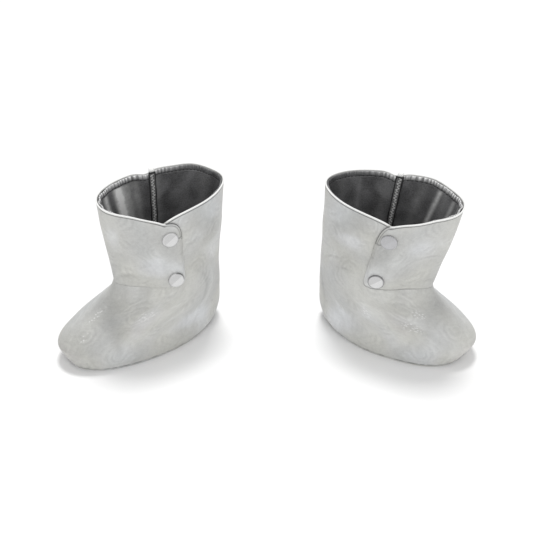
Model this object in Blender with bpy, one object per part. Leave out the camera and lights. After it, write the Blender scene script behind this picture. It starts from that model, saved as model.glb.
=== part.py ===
"""A pair of soft lined boot covers, built from the cloth pieces that a maker would cut and sew.

Each cover is a hollow bootee with an open top. The outer cloth is one piece for the foot, the heel
and the back of the shaft, and one flap for the front of the shaft. The flap is sewn at the outer side
seam, goes round the front and laps over the first piece on the inner side, where two press studs
hold it. A satin lining follows each piece inside.

Each cover has its own frame: +X to the toe, +Y to the inner side and +Z up, with the origin on the
floor under the shaft. Angles go round the cover, from 0 degrees at the toe through 90 at the inner
side, 180 at the heel and 270 at the outer side. All sizes in this file are in millimetres, and
metres only come in where a mesh is made.
"""
import math
from collections import namedtuple

import bmesh
import bpy
import numpy as np
from mathutils import Matrix, Vector

MM = 0.001

# Cloth
OUTER_WALL = 1.2
LINING_WALL = 1.0
SOLE_WALL = 1.3
GAP = 0.3
LINING_FACE = -(OUTER_WALL + GAP)
LINING_INSIDE = LINING_FACE - LINING_WALL
LAP_RISE = OUTER_WALL + LINING_WALL + 2 * GAP

# Heights, and the angle over which the ankle line climbs from the crease in front to the sides
TOP = 147.0
ANKLE_AT_SIDES = 68.4
ANKLE_CLIMB = 72.0
WALL_FOOT = SOLE_WALL + GAP
LINING_DROP = 0.8

# Angles round the cover, in degrees: the outer side seam and half its gap, how far the heel piece
# runs on under the flap, and where the flap begins to rise and is clear of it, before that edge
OUTER_SIDE = 262.5
SEAM_HALF_GAP = 0.15
UNDERLAP = 21.5
LAP_FULL = 2.0
LAP_START = 25.0

# The rim's shape: it sinks on the inner side, to a point where the flap crosses the heel piece
RIM_OVAL = -1.2
RIM_INNER_DIP = 6.7
RIM_INNER_WIDTH = 54.0
VEE_WIDTH = 13.5

# The rim's own slack: it sinks beside the outer side seam and swells a little further on
RimWave = namedtuple("RimWave", "angle half_width rise")
RIM_WAVES = {
    "left": [RimWave(268.0, 7.5, -3.4), RimWave(223.0, 20.0, 2.6)],
    "right": [RimWave(259.0, 7.5, -3.6), RimWave(290.0, 16.0, 2.8)],
}

# The flap's corners, and its clearance over the foot's top edge
FLAP_CLEARANCE = 0.36
UPPER_CORNER_HEIGHT = 114.0
LOWER_CORNER_RADIUS = 7.0

# The back of the plan outline is a little pointed, as at a heel seam, and rounder above this level
HEEL_SQUARENESS = 1.78
HEEL_ROUND_LEVEL = 0.6

# The overlocked seam allowance inside the outer side
SEAM_WIDTH = 4.4
SEAM_THICK = 1.8
SEAM_OFFSET = LINING_INSIDE - 2 * GAP
SEAM_STAND = 3.4
SEAM_PROFILE = [(-1.0, 0.0), (1.0, 0.0), (1.0, 0.6), (0.6, 1.0), (-0.6, 1.0), (-1.0, 0.6)]

# Press studs. Their profiles are shares of the radius and the height.
CAP_RADIUS = 7.1
CAP_HEIGHT = 2.1
CAP_PROFILE = [(0.0, 0.0), (0.93, 0.0), (1.0, 0.33), (0.93, 0.7), (0.6, 0.93), (0.0, 1.0)]
CAP_SIDES = 20
BACK_RADIUS = 5.2
BACK_HEIGHT = 1.2
BACK_PROFILE = [(0.0, 0.0), (1.0, 0.0), (0.9, 0.75), (0.0, 1.0)]
BACK_SIDES = 16
BACK_CLEARANCE = 0.9

# Plan outline at each level: 0 is the floor, 1 the ankle and 2 the top. Squareness is the
# exponent of the outline's front: 2 is an ellipse, and less gives the instep its soft ridge.
Section = namedtuple("Section", "level toe heel half_width squareness")
SECTIONS = [
    Section(0.00, 95.5, -40.0, 38.0, 2.45),
    Section(0.10, 99.7, -47.3, 38.9, 2.35),
    Section(0.28, 104.8, -51.2, 39.3, 2.20),
    Section(0.46, 96.4, -51.2, 39.0, 1.97),
    Section(0.64, 78.4, -51.6, 37.9, 1.68),
    Section(0.82, 61.2, -51.8, 36.9, 1.52),
    Section(1.00, 55.5, -51.7, 36.5, 1.52),
    Section(1.50, 62.0, -52.3, 36.3, 1.75),
    Section(2.00, 68.5, -54.2, 36.8, 2.10),
]

# Half of the shaft's length at the ankle, which turns a width on its sides into an angle
SHAFT_REACH = 53.0

# Soft upright folds in the flap's lining, where it turns round the front
Fold = namedtuple("Fold", "angle half_width depth low_level")
LINING_FOLDS = [
    Fold(-62.0, 5.0, 0.6, 1.30),
    Fold(-40.0, 6.5, 1.2, 1.05),
    Fold(-21.0, 6.0, 1.5, 1.10),
    Fold(-3.0, 6.5, 1.1, 1.15),
    Fold(19.0, 6.0, 0.8, 1.25),
]
FOLD_RUN_OUT = 0.3

# How each cover stands: ankle is the height of the crease in front. The shifts move the front of
# the plan outline at the toe, the ankle and the top, and lean moves the whole top forwards.
Pose = namedtuple("Pose", "name mirrored x y turn ankle toe_shift ankle_shift top_shift lean")
POSES = {
    "left": Pose("left", False, -91.0, -3.1, 212.7, 67.0, 6.4, -2.8, -4.2, -4.3),
    "right": Pose("right", True, 97.4, -4.4, -30.1, 62.8, -4.0, 2.0, 3.5, 5.5),
}

# How far each flap is drawn round to the inner side, as angles, how square its corner lies, and the
# angle and height of its press studs
Seat = namedtuple("Seat", "angle height")
Closure = namedtuple("Closure", "vee vee_depth flap_edge corner_squareness upper_stud lower_stud")
CLOSURES = {
    "left": Closure(74.0, 9.2, 88.5, 2.8, Seat(75.9, 117.2), Seat(75.4, 75.9)),
    "right": Closure(76.0, 7.4, 83.5, 1.9, Seat(72.2, 119.8), Seat(70.2, 77.2)),
}

# Columns of the cloth from the seam to the toe, to the underlap's edge, to the heel and to the seam
# again, then those of the flap from the seam to the toe, to its rise, to the vee and to its edge
HEEL_PIECE_COLUMNS = (14, 8, 16, 12)
FLAP_COLUMNS = (13, 5, 6, 6)

# Rows of the cloth
FOOT_LEVELS = (0.10, 0.21, 0.32, 0.43, 0.54, 0.65, 0.77, 0.89, 1.00)
SHAFT_ROWS = 6
FLAP_ROWS = 7
SEAM_LEVELS = (0.12, 0.25, 0.4, 0.55, 0.7, 0.85, 1.0, 1.2, 1.4, 1.6, 1.8)
SOLE_POINTS = 48

# Edges sharper than these angles stay sharp, and points closer than this merge
SHARP_CLOTH = 50.0
SHARP_STUD = 40.0
MERGE = 0.02

Finish = namedtuple("Finish", "colour roughness metallic")
FINISHES = {
    "plush": Finish((0.56, 0.56, 0.54), 0.9, 0.0),
    "satin": Finish((0.045, 0.045, 0.048), 0.45, 0.0),
    "overlock": Finish((0.16, 0.16, 0.16), 0.8, 0.0),
    "stud": Finish((0.66, 0.66, 0.65), 0.25, 0.0),
}


def clear_scene():
    for item in list(bpy.data.objects):
        bpy.data.objects.remove(item, do_unlink=True)


def make_materials():
    """One plain material for each kind of piece."""
    made = {}
    for name, finish in FINISHES.items():
        material = bpy.data.materials.new(name)
        material.use_nodes = True
        shader = material.node_tree.nodes["Principled BSDF"]
        shader.inputs["Base Color"].default_value = (*finish.colour, 1.0)
        shader.inputs["Roughness"].default_value = finish.roughness
        shader.inputs["Metallic"].default_value = finish.metallic
        made[name] = material
    return made


def ease(share):
    """Smooth step from 0 to 1."""
    share = np.clip(share, 0.0, 1.0)
    return share * share * (3.0 - 2.0 * share)


def through(places, values, at):
    """A smooth curve through a table's values that never bulges past its neighbours."""
    places = np.asarray(places, float)
    values = np.asarray(values, float)
    steps = np.diff(places)
    rises = np.diff(values) / steps
    slopes = np.empty(len(values))
    slopes[0] = rises[0]
    slopes[-1] = rises[-1]
    for i in range(1, len(values) - 1):
        before, after = rises[i - 1], rises[i]
        if before * after <= 0:
            slopes[i] = 0.0
        else:
            heavy = 2 * steps[i] + steps[i - 1]
            light = steps[i] + 2 * steps[i - 1]
            slopes[i] = (heavy + light) / (heavy / before + light / after)
    i = np.clip(np.searchsorted(places, at) - 1, 0, len(steps) - 1)
    t = np.clip((at - places[i]) / steps[i], 0.0, 1.0)
    start = values[i] * (1 + 2 * t) * (1 - t) ** 2 + slopes[i] * steps[i] * t * (1 - t) ** 2
    end = values[i + 1] * t ** 2 * (3 - 2 * t) + slopes[i + 1] * steps[i] * t ** 2 * (t - 1)
    return start + end


def signed_power(value, power):
    return np.sign(value) * np.abs(value) ** power


class Cover:
    """The outer face of one cover, and what is worked out from it."""

    def __init__(self, pose, closure):
        self.pose = pose
        self.closure = closure
        self.underlap_edge = closure.flap_edge - UNDERLAP

    def ankle(self, angle):
        """The ankle line: lowest at the crease in front, and level round the sides and the back."""
        from_front = np.abs((np.asarray(angle, float) + 180.0) % 360.0 - 180.0)
        climb = np.sin(np.pi / 2 * np.minimum(from_front / ANKLE_CLIMB, 1.0))
        return self.pose.ankle + (ANKLE_AT_SIDES - self.pose.ankle) * climb

    def level(self, angle, height):
        ankle = self.ankle(angle)
        return np.where(height < ankle, height / ankle, 1 + (height - ankle) / (TOP - ankle))

    def height(self, angle, level):
        ankle = self.ankle(angle)
        return np.where(level < 1, level * ankle, ankle + (level - 1) * (TOP - ankle))

    def rim(self, angle):
        """Height of the top edge, with the point of the vee on the inner side."""
        round_turn = RIM_OVAL * np.cos(2 * np.radians(angle))
        sink = RIM_INNER_DIP * np.exp(-((angle - 90.0) / RIM_INNER_WIDTH) ** 2)
        vee = self.closure.vee_depth * np.exp(-np.abs(angle - self.closure.vee) / VEE_WIDTH)
        slack = 0.0
        for wave in RIM_WAVES[self.pose.name]:
            away = (angle - wave.angle + 180.0) % 360.0 - 180.0
            slack = slack + wave.rise * np.exp(-(away / wave.half_width) ** 2)
        return TOP + round_turn - sink - vee + slack

    def front(self, level):
        """The foot's top line and the shaft's front meet in a crease at the ankle."""
        pose = self.pose
        foot = [row for row in SECTIONS if row.level <= 1]
        shaft = [row for row in SECTIONS if row.level >= 1]
        low = through([row.level for row in foot], [row.toe for row in foot], level)
        high = through([row.level for row in shaft], [row.toe for row in shaft], level)
        low_shift = pose.toe_shift + (pose.ankle_shift - pose.toe_shift) * ease(level)
        high_shift = pose.ankle_shift + (pose.top_shift - pose.ankle_shift) * (level - 1)
        return np.where(level < 1, low + low_shift, high + high_shift)

    def face(self, angle, height):
        """Points of the outer face at angles in degrees and heights."""
        angle, height = np.broadcast_arrays(np.asarray(angle, float), np.asarray(height, float))
        level = self.level(angle, height)
        levels = [row.level for row in SECTIONS]
        heel = through(levels, [row.heel for row in SECTIONS], level)
        width = through(levels, [row.half_width for row in SECTIONS], level)
        square = through(levels, [row.squareness for row in SECTIONS], level)
        front = self.front(level)
        forward = np.cos(np.radians(angle))
        inward = np.sin(np.radians(angle))
        heel_square = HEEL_SQUARENESS + (2.0 - HEEL_SQUARENESS) * ease(level - HEEL_ROUND_LEVEL)
        power = 2.0 / np.where(forward > 0, square, heel_square)
        lean = self.pose.lean * np.maximum(level - 1, 0)
        x = (front + heel) / 2 + (front - heel) / 2 * signed_power(forward, power) + lean
        y = width * signed_power(inward, power)
        return np.stack([x, y, height], -1)

    def normal(self, angle, height):
        """Outward direction of the face, averaged across the ankle's crease."""
        turn = 0.6
        rise = 0.8
        round_way = self.face(angle + turn, height) - self.face(angle - turn, height)
        up_way = self.face(angle, height + rise) - self.face(angle, height - rise)
        out = np.cross(round_way, up_way)
        return out / np.linalg.norm(out, axis=-1, keepdims=True)

    def point(self, angle, height, out):
        """Points moved off the outer face, along its outward direction."""
        out = np.asarray(out, float)[..., None] * np.ones(3)
        return self.face(angle, height) + self.normal(angle, height) * out

    def at_height(self, angle, height, out):
        """Points moved off the face that end at one height."""
        reach = np.full(np.shape(angle), float(height))
        for _ in range(6):
            reach = reach + height - self.point(angle, reach, out)[..., 2]
        points = self.point(angle, reach, out)
        points[..., 2] = height
        return points


def stretches(*pairs):
    """Angles from one end to the next, each stretch in its own number of equal steps."""
    angles = [pairs[0][0]]
    for start, end, count in pairs:
        angles += [start + (end - start) * k / count for k in range(1, count + 1)]
    return np.array(angles)


def heel_piece_angles(cover, fine):
    """Columns of the foot and heel piece, and the column where its underlap ends."""
    start = OUTER_SIDE - 360 + SEAM_HALF_GAP
    end = OUTER_SIDE - SEAM_HALF_GAP
    edge = cover.underlap_edge
    columns = [count if fine else count // 2 for count in HEEL_PIECE_COLUMNS]
    angles = stretches((start, 0.0, columns[0]), (0.0, edge, columns[1]),
                       (edge, 180.0, columns[2]), (180.0, end, columns[3]))
    return angles, columns[0] + columns[1]


def heel_piece_top(cover, angle):
    """Top edge of the foot and heel piece: under the flap it runs on downwards past the vee."""
    vee = cover.closure.vee
    hidden = cover.rim(vee) - cover.closure.vee_depth / VEE_WIDTH * (vee - angle)
    return np.where(angle < vee, hidden, cover.rim(angle))


def heel_piece_grid(cover, fine, out, drop):
    """Points in rows and columns, with the cells that are cloth.

    All rows of the foot go right round. Those of the shaft start where the underlap ends.
    """
    angles, first = heel_piece_angles(cover, fine)
    ankle = cover.ankle(angles)
    heights = [np.full(len(angles), WALL_FOOT)]
    heights += [ankle * level for level in FOOT_LEVELS]
    top = heel_piece_top(cover, angles) - drop
    for row in range(1, SHAFT_ROWS + 1):
        heights.append(ankle + (top - ankle) * row / SHAFT_ROWS)
    heights = np.array(heights)
    keep = np.ones((len(heights) - 1, len(angles) - 1), bool)
    keep[len(FOOT_LEVELS):, :first] = False
    return cover.point(angles[None, :], heights, out), keep


def flap_angles(cover):
    """Columns of the flap, closer together towards its rounded free edge."""
    start = OUTER_SIDE - 360 + SEAM_HALF_GAP
    rise = cover.underlap_edge - LAP_START
    vee, edge = cover.closure.vee, cover.closure.flap_edge
    to_toe, to_rise, to_vee, to_edge = FLAP_COLUMNS
    angles = stretches((start, 0.0, to_toe), (0.0, rise, to_rise), (rise, vee, to_vee))
    corner = [vee + (edge - vee) * math.sin(math.pi / 2 * k / to_edge) for k in range(1, to_edge + 1)]
    return np.concatenate([angles, corner])


def flap_top(cover, angle):
    """The flap's top edge: the rim up to the vee, and then its rounded upper corner."""
    vee, edge = cover.closure.vee, cover.closure.flap_edge
    share = np.clip((angle - vee) / (edge - vee), 0.0, 1.0)
    power = cover.closure.corner_squareness
    fall = (1 - share ** power) ** (1 / power)
    corner = UPPER_CORNER_HEIGHT + (cover.rim(vee) - UPPER_CORNER_HEIGHT) * fall
    return np.where(angle > vee, corner, cover.rim(angle))


def flap_low(cover, angle):
    """The flap's lower edge: the ankle line, and then its small lower corner."""
    arc = math.degrees(LOWER_CORNER_RADIUS / SHAFT_REACH)
    share = np.clip((angle - cover.closure.flap_edge + arc) / arc, 0.0, 1.0)
    return cover.ankle(angle) + FLAP_CLEARANCE + LOWER_CORNER_RADIUS * (1 - np.sqrt(1 - share ** 2))


def lap(cover, angle):
    """How far the flap stands off the plain outer face, to clear the heel piece under it."""
    before = cover.underlap_edge - angle
    return LAP_RISE * ease((LAP_START - before) / (LAP_START - LAP_FULL))


def lining_fold(angle, level):
    """Depth of the lining's soft folds at each point."""
    depth = np.zeros(np.broadcast(angle, level).shape)
    for fold in LINING_FOLDS:
        across = np.exp(-((angle - fold.angle) / fold.half_width) ** 2)
        depth = depth + fold.depth * across * ease((level - fold.low_level) / FOLD_RUN_OUT)
    return depth


def flap_grid(cover, out, drop, folded=False):
    """Points of the flap or its lining in rows and columns."""
    angles = flap_angles(cover)
    low = flap_low(cover, angles) + drop * 0.5
    top = flap_top(cover, angles) - drop
    heights = np.array([low + (top - low) * k / FLAP_ROWS for k in range(FLAP_ROWS + 1)])
    away = lap(cover, angles)[None, :] + out
    if folded:
        away = away - lining_fold(angles[None, :], cover.level(angles[None, :], heights))
    return cover.point(angles[None, :], heights, away * np.ones_like(heights))


def new_object(name, mesh, material, parent):
    mesh.materials.append(material)
    item = bpy.data.objects.new(name, mesh)
    bpy.context.collection.objects.link(item)
    item.parent = parent
    return item


def mesh_of(name, points, faces, mirrored):
    """A mesh from points in millimetres. On a mirrored cover its faces turn round with it."""
    side = -1.0 if mirrored else 1.0
    mesh = bpy.data.meshes.new(name)
    scaled = [(x * MM, side * y * MM, z * MM) for x, y, z in points]
    if mirrored:
        faces = [tuple(reversed(face)) for face in faces]
    mesh.from_pydata(scaled, [], faces)
    mesh.validate()
    return mesh


def cloth_wall(outer, inner, keep):
    """Points and faces of a closed wall between two grids, with its edges closed."""
    rows, columns = keep.shape
    used = {}
    faces = []
    edges = set()

    def number(row, column):
        return used.setdefault((row, column), len(used))

    for row in range(rows):
        for column in range(columns):
            if keep[row, column]:
                corners = [(row, column), (row, column + 1), (row + 1, column + 1), (row + 1, column)]
                faces.append(tuple(number(*corner) for corner in corners))
    for face in faces:
        edges.update(zip(face, face[1:] + face[:1]))
    count = len(used)
    inside = [tuple(corner + count for corner in reversed(face)) for face in faces]
    rims = [(end, start, start + count, end + count)
            for start, end in sorted(edges) if (end, start) not in edges]
    points = [outer[place] for place in used] + [inner[place] for place in used]
    return points, faces + inside + rims


def make_cloth(name, outer, inner, keep, material, parent, mirrored):
    points, faces = cloth_wall(outer, inner, keep)
    mesh = mesh_of(name, points, faces, mirrored)
    mesh.shade_smooth()
    mesh.set_sharp_from_angle(angle=math.radians(SHARP_CLOTH))
    return new_object(name, mesh, material, parent)


def make_slab(name, low, high, material, parent, mirrored):
    """A flat piece between two outlines with the same number of points."""
    count = len(low)
    points = list(low) + list(high)
    faces = [tuple(reversed(range(count))), tuple(range(count, 2 * count))]
    for k in range(count):
        after = (k + 1) % count
        faces.append((k, after, count + after, count + k))
    return new_object(name, mesh_of(name, points, faces, mirrored), material, parent)


def make_side_seam(name, cover, material, parent):
    """The overlocked allowance: a low rounded band down the inside of the outer side."""
    half_turn = math.degrees(SEAM_WIDTH / 2 / SHAFT_REACH)
    start = SOLE_WALL + 2 * GAP + LINING_WALL + 2 * GAP
    between = cover.height(OUTER_SIDE, np.array(SEAM_LEVELS))
    heights = np.concatenate([[start], between, [cover.rim(OUTER_SIDE) + SEAM_STAND]])
    rows = []
    for height in heights:
        angles = np.array([OUTER_SIDE + half_turn * across for across, _ in SEAM_PROFILE])
        away = np.array([SEAM_OFFSET - SEAM_THICK * deep for _, deep in SEAM_PROFILE])
        rows.append(cover.point(angles, np.full(len(SEAM_PROFILE), height), away))
    count = len(SEAM_PROFILE)
    points = [point for row in rows for point in row]
    faces = [tuple(reversed(range(count))), tuple(range(len(points) - count, len(points)))]
    for row in range(len(rows) - 1):
        for k in range(count):
            here = row * count + k
            after = row * count + (k + 1) % count
            faces.append((here, after, after + count, here + count))
    return new_object(name, mesh_of(name, points, faces, cover.pose.mirrored), material, parent)


def make_turned(name, profile, sides, place, outward, material, parent):
    """A round piece turned about its own Z, seated at a place and facing outward."""
    shape = bmesh.new()
    ring = [shape.verts.new((radius * MM, 0.0, height * MM)) for radius, height in profile]
    edges = [shape.edges.new(pair) for pair in zip(ring, ring[1:])]
    bmesh.ops.spin(shape, geom=ring + edges, cent=(0, 0, 0), axis=(0, 0, 1),
                   angle=2 * math.pi, steps=sides, use_duplicate=False)
    bmesh.ops.remove_doubles(shape, verts=shape.verts, dist=MERGE * MM)
    bmesh.ops.recalc_face_normals(shape, faces=shape.faces)
    mesh = bpy.data.meshes.new(name)
    shape.to_mesh(mesh)
    shape.free()
    mesh.shade_smooth()
    mesh.set_sharp_from_angle(angle=math.radians(SHARP_STUD))
    item = new_object(name, mesh, material, parent)
    turn = Vector(outward).to_track_quat("Z", "Y").to_matrix().to_4x4()
    item.matrix_local = Matrix.Translation(Vector(place) * MM) @ turn
    return item


def stud_seat(cover, seat, out):
    """Place and outward direction of a stud on the cover, in the cover's frame."""
    place = cover.point(np.array([seat.angle]), np.array([seat.height]), np.array([out]))[0]
    outward = cover.normal(np.array([seat.angle]), np.array([seat.height]))[0]
    if cover.pose.mirrored:
        place[1] = -place[1]
        outward[1] = -outward[1]
    return place, outward


def make_stud(cover, word, seat, materials, parent):
    """The cap on the flap, and the stud's own flat back inside the heel piece."""
    name = cover.pose.name
    cap = [(CAP_RADIUS * across, CAP_HEIGHT * up) for across, up in CAP_PROFILE]
    back = [(BACK_RADIUS * across, BACK_HEIGHT * up) for across, up in BACK_PROFILE]
    place, outward = stud_seat(cover, seat, float(lap(cover, seat.angle)) + GAP)
    make_turned(f"{name}_{word}_snap", cap, CAP_SIDES, place, outward, materials["stud"], parent)
    place, outward = stud_seat(cover, seat, LINING_INSIDE - BACK_CLEARANCE)
    make_turned(f"{name}_{word}_snap_back", back, BACK_SIDES, place, -outward,
                materials["stud"], parent)


def make_cover(name, materials):
    """All pieces of one cover, parented to an empty where it stands."""
    pose = POSES[name]
    closure = CLOSURES[name]
    cover = Cover(pose, closure)
    mirrored = pose.mirrored
    stand = bpy.data.objects.new(f"{name}_cover", None)
    bpy.context.collection.objects.link(stand)
    stand.location = (pose.x * MM, pose.y * MM, 0.0)
    stand.rotation_euler = (0.0, 0.0, math.radians(pose.turn))

    outer, keep = heel_piece_grid(cover, True, 0.0, 0.0)
    inner, _ = heel_piece_grid(cover, True, -OUTER_WALL, 0.0)
    make_cloth(f"{name}_foot_and_heel", outer, inner, keep, materials["plush"], stand, mirrored)
    outer, keep = heel_piece_grid(cover, False, LINING_FACE, LINING_DROP)
    inner, _ = heel_piece_grid(cover, False, LINING_INSIDE, LINING_DROP)
    make_cloth(f"{name}_foot_and_heel_lining", outer, inner, keep, materials["satin"], stand, mirrored)

    outer = flap_grid(cover, 0.0, 0.0)
    inner = flap_grid(cover, -OUTER_WALL, 0.0)
    keep = np.ones((outer.shape[0] - 1, outer.shape[1] - 1), bool)
    make_cloth(f"{name}_front_flap", outer, inner, keep, materials["plush"], stand, mirrored)
    outer = flap_grid(cover, LINING_FACE, LINING_DROP, folded=True)
    inner = flap_grid(cover, LINING_INSIDE, LINING_DROP, folded=True)
    make_cloth(f"{name}_front_flap_lining", outer, inner, keep, materials["satin"], stand, mirrored)

    turn = np.linspace(0.0, 360.0, SOLE_POINTS, endpoint=False)
    make_slab(f"{name}_sole", cover.at_height(turn, 0.0, 0.0), cover.at_height(turn, SOLE_WALL, 0.0),
              materials["plush"], stand, mirrored)
    low = SOLE_WALL + GAP
    inside = np.full(len(turn), LINING_INSIDE - 3 * GAP)
    make_slab(f"{name}_sole_lining", cover.at_height(turn, low, inside),
              cover.at_height(turn, low + LINING_WALL, inside), materials["satin"], stand, mirrored)

    make_side_seam(f"{name}_side_seam", cover, materials["overlock"], stand)
    make_stud(cover, "upper", closure.upper_stud, materials, stand)
    make_stud(cover, "lower", closure.lower_stud, materials, stand)
    return stand


def centre_pair(stands):
    """Moves both covers so that the pair's box is centred on the origin."""
    bpy.context.view_layer.update()
    corners = np.array([item.matrix_world @ vertex.co for item in bpy.data.objects
                        if item.type == "MESH" for vertex in item.data.vertices])
    middle = (corners.min(0) + corners.max(0)) / 2
    for stand in stands:
        stand.location.x -= middle[0]
        stand.location.y -= middle[1]


def main():
    clear_scene()
    materials = make_materials()
    centre_pair([make_cover(name, materials) for name in POSES])


main()
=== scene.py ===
"""The looks of the pair of boot covers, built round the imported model.

Every cloth piece is made again at a fine mesh on the form of its solid: a thin wall with rounded edges,
a bead along the rim, soft creases and, on the lining, a puckered hem. Stitches, overlock threads and
the snaps are added. The cloth's shape is worked out from the same sections and angles as the solids.

Each cover has its own frame, as its solids have: +X to the toe, +Y to the inner side and +Z up. Angles
go round it from 0 degrees at the toe through 90 at the inner side, 180 at the heel and 270 at the outer
side. Sizes are in millimetres, and metres only come in where a mesh is made.
"""
import math
from collections import namedtuple

import bmesh
import bpy
import numpy as np
from mathutils import Matrix, Vector


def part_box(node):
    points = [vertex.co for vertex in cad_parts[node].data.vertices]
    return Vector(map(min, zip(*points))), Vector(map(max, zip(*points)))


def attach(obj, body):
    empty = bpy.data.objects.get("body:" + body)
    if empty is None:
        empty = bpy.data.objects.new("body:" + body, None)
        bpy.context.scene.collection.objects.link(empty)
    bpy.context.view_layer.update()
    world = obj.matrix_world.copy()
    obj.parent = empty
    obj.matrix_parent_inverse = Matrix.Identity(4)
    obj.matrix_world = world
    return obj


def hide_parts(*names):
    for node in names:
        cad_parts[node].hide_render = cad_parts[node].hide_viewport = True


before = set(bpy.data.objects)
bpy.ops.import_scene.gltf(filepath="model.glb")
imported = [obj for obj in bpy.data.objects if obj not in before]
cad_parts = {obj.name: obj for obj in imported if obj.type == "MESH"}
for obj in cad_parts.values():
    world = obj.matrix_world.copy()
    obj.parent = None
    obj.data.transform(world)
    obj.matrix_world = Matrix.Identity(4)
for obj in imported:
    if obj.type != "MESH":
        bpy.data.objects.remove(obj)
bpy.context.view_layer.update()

MM = 0.001
BODY = "root"

# Camera: a studio shot from a little above, with both covers turned outwards
CAMERA_TARGET = (-0.8, 9.7, 68.6)
CAMERA_ELEVATION = 32.37
CAMERA_DISTANCE = 814.9
CAMERA_LENS = 60.54
SENSOR = 36.0
CAMERA_NEAR = 0.05
CAMERA_FAR = 20.0

# Cloth
OUTER_WALL = 1.2
LINING_WALL = 1.0
SOLE_WALL = 1.3
GAP = 0.3
LINING_FACE = -(OUTER_WALL + GAP)
LINING_INSIDE = LINING_FACE - LINING_WALL
LAP_RISE = OUTER_WALL + LINING_WALL + 2 * GAP
EDGE_ROUND = 0.6
EDGE_LEFT = 0.12

# Heights, and the angle over which the ankle line climbs from the crease in front to the sides
TOP = 147.0
ANKLE_AT_SIDES = 68.4
ANKLE_CLIMB = 72.0
WALL_FOOT = SOLE_WALL + GAP
LINING_DROP = 0.8

# Angles round the cover: the outer side seam and half its gap, how far the heel piece runs on under
# the flap, and where the flap begins to rise and is clear of it, before that edge
OUTER_SIDE = 262.5
SEAM_HALF_GAP = 0.15
SEAM_START = OUTER_SIDE - 360 + SEAM_HALF_GAP
SEAM_END = OUTER_SIDE - SEAM_HALF_GAP
UNDERLAP = 21.5
LAP_FULL = 2.0
LAP_START = 25.0

# The rim's shape
RIM_OVAL = -1.2
RIM_INNER_DIP = 6.7
RIM_INNER_WIDTH = 54.0
VEE_WIDTH = 13.5
RimWave = namedtuple("RimWave", "angle half_width rise")
RIM_WAVES = {
    "left": [RimWave(268.0, 7.5, -3.4), RimWave(223.0, 20.0, 2.6)],
    "right": [RimWave(259.0, 7.5, -3.6), RimWave(290.0, 16.0, 2.8)],
}

# The flap's corners, and its clearance over the foot's top edge
FLAP_CLEARANCE = 0.36
UPPER_CORNER_HEIGHT = 114.0
LOWER_CORNER_RADIUS = 7.0

# How pointed the heel's plan is, and the level from which it gets round
HEEL_SQUARENESS = 1.78
HEEL_ROUND_LEVEL = 0.6

# Half of the shaft's length, and the millimetres that one degree is on its sides
SHAFT_REACH = 53.0
ARC = math.radians(SHAFT_REACH)

# Half of the angle and half of the height over which the outward direction is averaged, how often a
# point's height is corrected to come out as wanted, and how many points find a sole's box
NORMAL_TURN = 0.6
NORMAL_RISE = 0.8
HEIGHT_ROUNDS = 6
PLACE_POINTS = 48

# How far to each side of a place its directions are measured
FRAME_STEP = 0.5

# Plan outline at each level: 0 is the floor, 1 the ankle and 2 the top
Section = namedtuple("Section", "level toe heel half_width squareness")
SECTIONS = [
    Section(0.00, 95.5, -40.0, 38.0, 2.45),
    Section(0.10, 99.7, -47.3, 38.9, 2.35),
    Section(0.28, 104.8, -51.2, 39.3, 2.20),
    Section(0.46, 96.4, -51.2, 39.0, 1.97),
    Section(0.64, 78.4, -51.6, 37.9, 1.68),
    Section(0.82, 61.2, -51.8, 36.9, 1.52),
    Section(1.00, 55.5, -51.7, 36.5, 1.52),
    Section(1.50, 62.0, -52.3, 36.3, 1.75),
    Section(2.00, 68.5, -54.2, 36.8, 2.10),
]

Pose = namedtuple("Pose", "mirrored turn ankle toe_shift ankle_shift top_shift lean")
POSES = {
    "left": Pose(False, 212.7, 67.0, 6.4, -2.8, -4.2, -4.3),
    "right": Pose(True, -30.1, 62.8, -4.0, 2.0, 3.5, 5.5),
}

# How far each flap is drawn round to the inner side, as angles, how square its corner lies, and the
# angle and height of its snaps
Seat = namedtuple("Seat", "angle height")
Closure = namedtuple("Closure", "vee vee_depth flap_edge corner_squareness upper_stud lower_stud")
CLOSURES = {
    "left": Closure(74.0, 9.2, 88.5, 2.8, Seat(75.9, 117.2), Seat(75.4, 75.9)),
    "right": Closure(76.0, 7.4, 83.5, 1.9, Seat(72.2, 119.8), Seat(70.2, 77.2)),
}

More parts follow.
